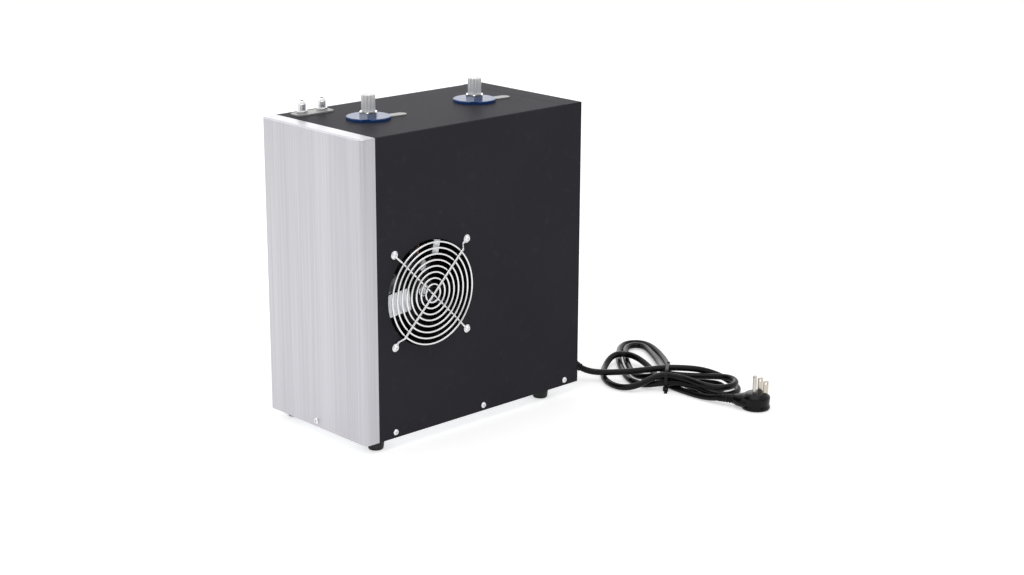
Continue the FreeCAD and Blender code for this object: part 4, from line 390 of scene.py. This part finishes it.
def cord_sheath():
    """Glossy black sheath of the mains cord and its moulded ends."""
    made = Finish("cord_sheath", specular_ior_level=0.12, coat_weight=0.1, coat_roughness=0.06)
    drawn = made.noise(900, 2.0)
    smear = made.noise(60, 3.0)
    return made.dress(
        base_color=made.blend(smear, (0.0025, 0.0025, 0.0028), (0.006, 0.006, 0.0065)),
        roughness=0.2 + 0.1 * smear + 0.05 * drawn,
        normal=made.bump(drawn, 0.00002, 0.4),
    )


def plated_brass():
    """Nickel on brass, yellower where the plug has been pushed in."""
    made = Finish("plated_brass", metallic=1.0)
    rubbed = made.noise(140, 4.0, 0.6, (1, 1, 0.3))
    lines = made.noise(1.0, 2.0, 0.5, (1400, 1400, 60))
    return made.dress(
        base_color=made.blend(rubbed.above(0.52, 0.2), (0.60, 0.585, 0.56), (0.56, 0.50, 0.42)),
        roughness=0.2 + 0.14 * lines,
        normal=made.bump(lines, 0.00002, 0.6),
    )


FINISHES = {
    "front_steel": brushed_steel(),
    "black_paint": black_powder_coat(),
    "zinc_steel": zinc_plate(),
    "bright_metal": bright_plating(),
    "black_plastic": moulded_plastic(
        "black_moulding", (0.006, 0.006, 0.0065), (0.012, 0.012, 0.013), 0.3, 1500, 0.2
    ),
    "fin_aluminium": fin_foil(),
    "copper": drawn_copper(),
    "bronze": sintered_bronze(),
    "blue_plastic": moulded_plastic(
        "blue_moulding", (0.005, 0.034, 0.13), (0.009, 0.05, 0.18), 0.16, 1100
    ),
    "pale_plastic": moulded_plastic(
        "pale_moulding", (0.27, 0.27, 0.265), (0.36, 0.36, 0.35), 0.3, 1200
    ),
    "white_cap": milky_plastic(),
    "tank_steel": tank_sheet(),
    "foam": closed_foam(),
    "shell_paint": shell_enamel(),
    "rubber": foot_rubber(),
    "cord_black": cord_sheath(),
    "pin_brass": plated_brass(),
}


def dress_frame():
    """Gives every node of the frame the finish of its slot."""
    for part in frame["record"]["subparts"]:
        mesh = frame["nodes"][part["node"]].data
        mesh.materials.clear()
        mesh.materials.append(FINISHES[part["material_slot"]])


dress_frame()


def studio():
    """A pale floor and a white surround."""
    bm = bmesh.new()
    bmesh.ops.create_grid(bm, x_segments=2, y_segments=2, size=FLOOR_REACH)
    mesh = bpy.data.meshes.new("floor")
    bm.to_mesh(mesh)
    bm.free()
    floor = bpy.data.objects.new("floor", mesh)
    scene.collection.objects.link(floor)
    paper = Finish("floor_paper", roughness=0.9, specular_ior_level=0.0, emission_strength=1.0)
    rays = paper.node("LightPath", output="Is Camera Ray")
    shiny = paper.node("LightPath", output="Is Glossy Ray")
    clear = paper.node("LightPath", output="Is Transmission Ray")
    seen = paper.node("Math", {"operation": "MAXIMUM"}, [rays, shiny + clear])
    mesh.materials.append(paper.dress(
        base_color=(FLOOR_TONE, FLOOR_TONE, FLOOR_TONE),
        emission_color=paper.blend(seen, (0.0, 0.0, 0.0), (FLOOR_GLOW, FLOOR_GLOW, FLOOR_GLOW)),
    ))
    world = bpy.data.worlds.new("surround")
    scene.world = world
    world.use_nodes = True
    tree = world.node_tree
    light = tree.nodes["Background"]
    light.inputs["Color"].default_value = (1, 1, 1, 1)
    path = tree.nodes.new("ShaderNodeLightPath")
    most = tree.nodes.new("ShaderNodeMath")
    most.operation = "MAXIMUM"
    tree.links.new(path.outputs["Is Camera Ray"], most.inputs[0])
    tree.links.new(path.outputs["Is Glossy Ray"], most.inputs[1])
    level = tree.nodes.new("ShaderNodeMapRange")
    tree.links.new(most.outputs[0], level.inputs[0])
    level.inputs["To Min"].default_value = SURROUND_LIGHT
    level.inputs["To Max"].default_value = SURROUND_SEEN
    tree.links.new(level.outputs[0], light.inputs["Strength"])


def lamp(name, place, aim, size, watts):
    light = bpy.data.lights.new(name, "AREA")
    light.size = size
    light.energy = watts
    made = bpy.data.objects.new(name, light)
    made.location = place
    made.rotation_mode = "QUATERNION"
    made.rotation_quaternion = (Vector(aim) - Vector(place)).to_track_quat("-Z", "Y")
    scene.collection.objects.link(made)


def camera():
    view = bpy.data.cameras.new("camera")
    view.lens = CAMERA_LENS
    view.sensor_width = 36
    view.clip_start = 0.05
    made = bpy.data.objects.new("camera", view)
    turn = Matrix((CAMERA_RIGHT, CAMERA_UP, -CAMERA_AHEAD)).transposed().to_4x4()
    made.matrix_world = Matrix.Translation(CAMERA_PLACE) @ turn
    scene.collection.objects.link(made)
    scene.camera = made


def flag(name, place, aim, width, height):
    """A black card that shows only in reflections, so that bright metal has dark in it."""
    bm = bmesh.new()
    turn = (Vector(aim) - Vector(place)).to_track_quat("Z", "Y").to_matrix().to_4x4()
    bmesh.ops.create_grid(
        bm, x_segments=1, y_segments=1, size=0.5,
        matrix=Matrix.Translation(place) @ turn @ Matrix.Diagonal((width, height, 1, 1)),
    )
    mesh = bpy.data.meshes.new(name)
    bm.to_mesh(mesh)
    bm.free()
    mesh.materials.append(flag_cloth)
    made = bpy.data.objects.new(name, mesh)
    made.visible_camera = False
    made.visible_diffuse = False
    made.visible_shadow = False
    made.visible_transmission = False
    scene.collection.objects.link(made)


def black_cloth():
    """Dull black cloth with a little weave, for the flags."""
    made = Finish("flag_cloth", roughness=0.95, specular_ior_level=0.0)
    weave = made.noise(300, 2.0)
    return made.dress(base_color=made.blend(weave, (0.012, 0.012, 0.013), (0.03, 0.03, 0.032)))


camera()
studio()
flag_cloth = black_cloth()
flag("flag_right", (1.9, 0.4, 0.45), (0, 0, 0.25), width=0.7, height=0.9)
flag("flag_front", (0.35, -1.5, 0.3), (0.1, -0.1, 0.2), width=0.28, height=0.7)
lamp("overhead", (0.3, -0.2, 2.2), (0.05, 0.05, 0.1), size=1.8, watts=14)
lamp("left", (-1.6, -1.6, 1.5), (0, 0, 0.2), size=1.6, watts=12)
lamp("behind", (-2.4, 2.0, 1.0), (0, 0, 0.35), size=1.8, watts=10)
scene.view_settings.view_transform = "Standard"


def add_piece(name, bm, slot, body="chassis", replaces=(), sharp=40):
    """Makes an object of a finished mesh, in its slot's finish, riding on a body."""
    mesh = bpy.data.meshes.new(name)
    bm.to_mesh(mesh)
    bm.free()
    mesh.shade_smooth()
    mesh.set_sharp_from_angle(angle=math.radians(sharp))
    mesh.materials.append(FINISHES[slot])
    made = bpy.data.objects.new(name, mesh)
    scene.collection.objects.link(made)
    return settle(made, body, replaces)


def settle(made, body="chassis", replaces=()):
    """Lets a piece ride on its body, for the nodes that it replaces."""
    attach(made, body)
    if replaces:
        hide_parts(*replaces)
    return made


def cord_curve():
    """The mains cord's own line, as one smooth spline."""
    curve = bpy.data.curves.new("mains_cord", "CURVE")
    curve.dimensions = "3D"
    line = curve.splines.new("NURBS")
    line.points.add(len(CORD_ROUTE) - 1)
    for point, place in zip(line.points, CORD_ROUTE):
        point.co = (*spot(*place), 1.0)
    line.order_u = 3
    line.use_endpoint_u = True
    line.resolution_u = 6
    made = bpy.data.objects.new("mains_cord", curve)
    scene.collection.objects.link(made)
    return made


def section(place, along, wide, high):
    """The matrix that sets a unit circle across a direction, as an oval."""
    along = along.normalized()
    side = along.cross(UP).normalized()
    rise = side.cross(along)
    return Matrix.Translation(place) @ Matrix((side * wide, rise * high, along)).transposed().to_4x4()


def oval_tube(bm, sections, sides=32):
    """A closed tube through the sections that a list of matrices gives."""
    before = []
    tube = []
    for matrix in sections:
        ring = bmesh.ops.create_circle(bm, segments=sides, radius=1.0, matrix=matrix)["verts"]
        edges = list(dict.fromkeys(edge for vert in ring for edge in vert.link_edges))
        if before:
            bmesh.ops.bridge_loops(bm, edges=before + edges)
        before = edges
        tube.extend(ring)
    ends = dict.fromkeys(edge for vert in tube for edge in vert.link_edges if edge.is_boundary)
    bmesh.ops.holes_fill(bm, edges=list(ends))
    bmesh.ops.recalc_face_normals(bm, faces=bm.faces)


def lathe(bm, profile, middle, axis=UP, steps=64):
    """Turns a profile of radius and height, in millimetres, all the way round an axis."""
    side = axis.orthogonal().normalized()
    chain = [bm.verts.new(middle + (side * radius + axis * height) * MM) for radius, height in profile]
    edges = [bm.edges.new(pair) for pair in zip(chain, chain[1:])]
    bmesh.ops.spin(bm, geom=chain + edges, cent=middle, axis=axis, angle=math.tau, steps=steps,
                   use_merge=True)
    bmesh.ops.remove_doubles(bm, verts=bm.verts, dist=0.000005)
    bmesh.ops.recalc_face_normals(bm, faces=bm.faces)


def rounded_block(bm, matrix, size, easing):
    """A block of a size in millimetres with its edges rounded, set by a matrix."""
    made = bmesh.ops.create_cube(bm, size=MM, matrix=matrix @ Matrix.Diagonal((*size, 1)))["verts"]
    edges = list(dict.fromkeys(edge for vert in made for edge in vert.link_edges))
    bmesh.ops.bevel(bm, geom=edges, offset=easing * MM, segments=2, profile=0.5, affect="EDGES",
                    material=-1)


def along_line(line, distance):
    """The place and direction at a distance along a line of points."""
    for start, end in zip(line, line[1:]):
        step = end - start
        if distance <= step.length:
            return start + step.normalized() * distance, step
        distance -= step.length
    return line[-1], step


def ribbed_sleeve(bm, line, ribs, first, last):
    """A sleeve whose ribs and grooves taper along the cord's line."""
    pitch, rib, groove_depth, easing = 3.5, 2.3, 0.6, 0.35
    sections = []
    for i in range(ribs):
        radius = first + (last - first) * i / (ribs - 1)
        start = pitch * i
        for distance, size in (
            (start, radius - groove_depth), (start + easing, radius),
            (start + rib - easing, radius), (start + rib, radius - groove_depth),
        ):
            place, along = along_line(line, distance * MM)
            sections.append(section(place, along, size * MM, size * MM))
    oval_tube(bm, sections)


def make_impeller():
    """The fan wheel: a dished hub and five swept blades that twist towards their tips."""
    middle = Vector((FAN_X, FAN_Y, FAN_Z)) * MM
    root_chord, added_chord, tip_trim = 21, 10, 0.2
    root_pitch, twist = 58, 22
    camber_share, sweep, sheet = 0.09, 0.25, 1.3
    bm = bmesh.new()
    hub = [
        (3.05, -10), (15.6, -10), (16.6, -9.2), (17, -8), (17, 6.5), (16.4, 8), (15, 9), (13, 9.4),
        (12.2, 8.6), (8.6, 8.2), (7.8, 9.8), (3.05, 9.8), (3.05, -10),
    ]
    lathe(bm, hub, middle, ALONG_X, steps=60)
    for i in range(FAN_BLADES):
        blade = bmesh.ops.create_grid(bm, x_segments=10, y_segments=10, size=0.5)["verts"]
        for vert in blade:
            out = vert.co.x + 0.5
            chord = (root_chord + added_chord * out) * (1 - tip_trim * out ** 6)
            radius = HUB_RADIUS - 1 + (BLADE_TIP - HUB_RADIUS + 1) * out
            pitch = math.radians(root_pitch - twist * out)
            camber = camber_share * chord * (1 - 4 * vert.co.y ** 2)
            across = vert.co.y * chord * math.cos(pitch) + camber * math.sin(pitch)
            deep = vert.co.y * chord * math.sin(pitch) - camber * math.cos(pitch)
            angle = math.tau * i / FAN_BLADES + BLADE_TURN + sweep * out ** 2 + across / radius
            place = Vector((deep, radius * math.cos(angle), radius * math.sin(angle)))
            vert.co = middle + place * MM
        faces = list(dict.fromkeys(face for vert in blade for face in vert.link_faces))
        bmesh.ops.solidify(bm, geom=faces, thickness=sheet * MM)
    bmesh.ops.recalc_face_normals(bm, faces=bm.faces)
    add_piece("fan_wheel", bm, "black_plastic", "fan_rotor", ["fan_impeller"], sharp=35)
    collar = bmesh.new()
    ring = [(3.05, 9.9), (7, 9.9), (7, 10.6), (5.6, 11), (5.6, 11.8), (3.05, 11.8), (3.05, 9.9)]
    lathe(collar, ring, middle, ALONG_X, steps=40)
    add_piece("fan_collar", collar, "bright_metal", "fan_rotor")


def make_service_fitting(name, node):
    """A flare fitting: hexagon, cut thread and a nose, with a dark rubber disc over its bore's mouth as
    painted shade of the open bore.
    """
    low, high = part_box(node)
    middle = Vector(((low[0] + high[0]) / 2, (low[1] + high[1]) / 2, SERVICE_SEAT * MM))
    bore, root, crest = 1.6, 4.3, 4.75
    corner_radius, hexagon_height, hexagon_turn = 6.35, 3.5, math.radians(20)
    bm = bmesh.new()
    barrel = [(bore, -14), (root, -14), (root, 3.6)]
    for i in range(THREADS):
        start = 3.9 + THREAD_PITCH * i
        barrel += [(root, start), (crest, start + 0.35), (crest, start + 0.5), (root, start + 0.85)]
    barrel += [(root, 11.3), (3.4, 13.2), (2.9, 13.9), (2.2, 14), (bore, 13.4), (bore, -14)]
    lathe(bm, barrel, middle, steps=40)
    seat = Matrix.Translation(middle + UP * (hexagon_height / 2) * MM)
    hexagon = bmesh.ops.create_cone(
        bm, cap_ends=True, segments=6, radius1=corner_radius * MM, radius2=corner_radius * MM,
        depth=hexagon_height * MM, matrix=seat @ Matrix.Rotation(hexagon_turn, 4, "Z"),
    )["verts"]
    rims = dict.fromkeys(edge for vert in hexagon for edge in vert.link_edges)
    bmesh.ops.bevel(bm, geom=list(rims), offset=0.4 * MM, segments=2, profile=0.5, affect="EDGES",
                    material=-1)
    add_piece(name, bm, "bright_metal", replaces=[node], sharp=35)
    # The dark rubber disc that closes the bore's mouth is painted shade: it stands in for the shadow
    # inside the open bore.
    bore_shade_disc = bmesh.new()
    ring = [(0, 12.8), (2.15, 12.8), (2.15, 14.05), (1.7, 14.3), (0.9, 14.2), (0.7, 13.3), (0, 13.2)]
    lathe(bore_shade_disc, ring, middle, steps=32)
    add_piece(name + "_seal", bore_shade_disc, "rubber")


def make_plug(line):
    """The moulded plug: a drum with a rim at its foot, a neck, and a ribbed sleeve on the cord."""
    middle = spot(*PLUG, 0)
    bm = bmesh.new()
    drum = [
        (0, 0.1), (14.6, 0.1), (16.4, 0.8), (17, 2), (17, 3.8), (16.6, 4.7), (16.2, 5.4), (16.2, 7),
        (16.4, 10), (16.7, 13), (16.8, 14.8), (16.3, 15.8), (14.4, 17.7), (12.6, 19.1),
        (11.5, PLUG_FACE), (0, PLUG_FACE),
    ]
    lathe(bm, drum, middle)
    toward = spot(*RELIEF_END[:2], 0) - middle
    reach = toward.length / MM
    sections = []
    for distance, wide, low, high in (
        (4, 14.6, 0.5, 17.6), (12, 14.4, 0.6, 17.4), (17, 12.9, 0.8, 16.8), (21, 10.6, 1.4, 15.9),
        (24, 8.3, 2.2, 15.2), (reach, 6.6, 3, 14.9), (reach + 0.3, 5.8, 3.6, 14.3),
    ):
        place = middle + toward.normalized() * distance * MM + UP * (low + high) / 2 * MM
        sections.append(section(place, toward, wide * MM, (high - low) / 2 * MM))
    oval_tube(bm, sections, sides=48)
    ribbed_sleeve(bm, line, ribs=6, first=5.7, last=4.7)
    return add_piece("plug_moulding", bm, "cord_black", replaces=["plug_body"], sharp=30)


def make_contacts():
    """The plug's round earth pin and its two flat blades with their holes."""
    ahead, aside = 11.9, 6.35
    width, sheet, corner, hole_radius = 6.35, 1.5, 1.1, 1.6
    bm = bmesh.new()
    earth = spot(*PIN, 0)
    low = PLUG_FACE - 5
    middle_z = (low + CONTACT_TOP) / 2
    pin = [(0, low), (2.4, low), (2.4, 38.6), (2.1, 40.2), (1.4, 41), (0.6, 41.2), (0, 41.2)]
    lathe(bm, pin, earth, steps=32)
    turn = Matrix.Rotation(math.radians(PIN_ANGLE), 3, "Z")
    toward = turn @ ALONG_X
    beside = turn @ ALONG_Y
    for side in (-1, 1):
        place = earth + (toward * ahead + beside * side * aside) * MM
        stand = Matrix.Translation(place) @ Matrix((toward, UP, beside)).transposed().to_4x4()
        hole = bmesh.ops.create_circle(
            bm, segments=24, radius=hole_radius * MM,
            matrix=stand @ Matrix.Translation((0, (CONTACT_TOP - CONTACT_HOLE_DOWN) * MM, 0)),
        )
        outline = bmesh.ops.create_grid(
            bm, x_segments=1, y_segments=1, size=0.5,
            matrix=stand @ Matrix.Translation((0, middle_z * MM, 0))
            @ Matrix.Diagonal((width * MM, (CONTACT_TOP - low) * MM, 1, 1)),
        )["verts"]
        corners = [vert for vert in outline if vert.co.z > middle_z * MM]
        bmesh.ops.bevel(bm, geom=corners, offset=corner * MM, segments=4, profile=0.5, affect="VERTICES",
                        material=-1)
        sheets = [face for face in bm.faces if all(len(edge.link_faces) == 1 for edge in face.edges)]
        rim = list(dict.fromkeys(edge for face in sheets for edge in face.edges))
        bmesh.ops.delete(bm, geom=sheets, context="FACES_ONLY")
        inner = list(dict.fromkeys(edge for vert in hole["verts"] for edge in vert.link_edges))
        filled = bmesh.ops.triangle_fill(bm, edges=rim + inner, use_beauty=True, use_dissolve=False)
        faces = [item for item in filled["geom"] if isinstance(item, bmesh.types.BMFace)]
        bmesh.ops.solidify(bm, geom=faces, thickness=sheet * MM)
    bmesh.ops.recalc_face_normals(bm, faces=bm.faces)
    return add_piece("plug_contacts", bm, "pin_brass", replaces=["plug_pins"], sharp=35)


def make_tie():
    """The flat band round the hanked cord, its buckle, and its two ends."""
    ring_wide, ring_high, ring_easing = 39.6, 25, 9.5
    ring_shift, ring_middle = 2, 12.7
    width, sheet = 3.8, 1.1
    turn = Matrix.Rotation(math.radians(TIE_ANGLE), 4, "Z")
    stand = Matrix.Translation(spot(*TIE, 0)) @ turn
    upright = Matrix(((0, 0, 1, 0), (1, 0, 0, 0), (0, 1, 0, 0), (0, 0, 0, 1)))
    bm = bmesh.new()
    loop = bmesh.ops.create_grid(
        bm, x_segments=1, y_segments=1, size=0.5,
        matrix=stand @ Matrix.Translation((-width / 2 * MM, ring_shift * MM, ring_middle * MM)) @ upright
        @ Matrix.Diagonal((ring_wide * MM, ring_high * MM, 1, 1)),
    )["verts"]
    bmesh.ops.bevel(bm, geom=loop, offset=ring_easing * MM, segments=8, profile=0.5, affect="VERTICES",
                    material=-1)
    rim = list(bm.edges)
    bmesh.ops.delete(bm, geom=list(bm.faces), context="FACES_ONLY")
    band = bmesh.ops.extrude_edge_only(bm, edges=rim)["geom"]
    moved = [item for item in band if isinstance(item, bmesh.types.BMVert)]
    bmesh.ops.translate(bm, verts=moved, vec=turn.to_3x3() @ Vector((width * MM, 0, 0)))
    bmesh.ops.recalc_face_normals(bm, faces=bm.faces)
    bmesh.ops.solidify(bm, geom=list(bm.faces), thickness=sheet * MM)
    for place, lean, size in (
        ((0, -18.2, 3.2), 0, (6.4, 4.2, 5)), ((0.6, -22.5, 1.4), 10, (width, 9, sheet)),
        ((0.6, -21, 3.6), 24, (width, 3.4, sheet)), ((0, 19.5, 22.5), 30, (width, 7, sheet)),
    ):
        seat = stand @ Matrix.Translation(Vector(place) * MM)
        rounded_block(bm, seat @ Matrix.Rotation(math.radians(lean), 4, "X"), size, easing=0.4)
    return add_piece("cord_band", bm, "black_plastic", replaces=["cord_tie"], sharp=30)


def make_cap(name, node, body):
    """A push-on cap: an open cup whose wall is moulded in soft ribs, with a rounded crown."""
    low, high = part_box(node)
    middle = Vector(((low[0] + high[0]) / 2, (low[1] + high[1]) / 2, low[2]))
    tall = (high[2] - low[2]) / MM
    ribs_from = 7.4
    bm = bmesh.new()
    wall = [(7.6, 0), (7.85, 0.5), (7.85, tall - 2), (7.5, tall - 0.9)]
    crown = [(6.6, tall - 0.15), (5.6, tall), (5.3, tall - 0.45), (0, tall - 0.5)]
    lathe(bm, wall + crown, middle, steps=CAP_RIBS * 8)
    for vert in bm.verts:
        out = vert.co - middle
        rise = out.z / MM
        out.z = 0
        if out.length > ribs_from * MM and rise < tall - 1:
            angle = math.atan2(out.y, out.x)
            groove = 0.5 - 0.5 * math.cos(angle * CAP_RIBS)
            vert.co -= out.normalized() * CAP_GROOVE * groove ** 2 * MM
    bmesh.ops.solidify(bm, geom=list(bm.faces), thickness=CAP_WALL * MM)
    add_piece(name, bm, "white_cap", body, [node])


def make_strain_relief(line):
    """The tapered sleeve that guides the cord out of its gland."""
    bm = bmesh.new()
    ribbed_sleeve(bm, line, ribs=9, first=6.8, last=4.8)
    add_piece("cord_sleeve", bm, "black_plastic")


cord = cord_curve()
cord_line = [v.co.copy() for v in bpy.data.meshes.new_from_object(cord).vertices]
cord.data.bevel_depth = CORD_WIDTH / 2 * MM
cord.data.bevel_resolution = 5
cord.data.use_fill_caps = True
cord.data.materials.append(FINISHES["cord_black"])
settle(cord, replaces=("cord_lead", "cord_hank", "cord_tail"))
plug = make_plug(cord_line[::-1])
contacts = make_contacts()
tie = make_tie()
spot(*CORD_EXIT)
make_strain_relief(cord_line)
make_impeller()
make_cap("push_cap_front", "port_cap_front", "cap_front")
make_cap("push_cap_rear", "port_cap_rear", "cap_rear")
make_service_fitting("service_port_front", "service_fitting_front")
make_service_fitting("service_port_rear", "service_fitting_rear")
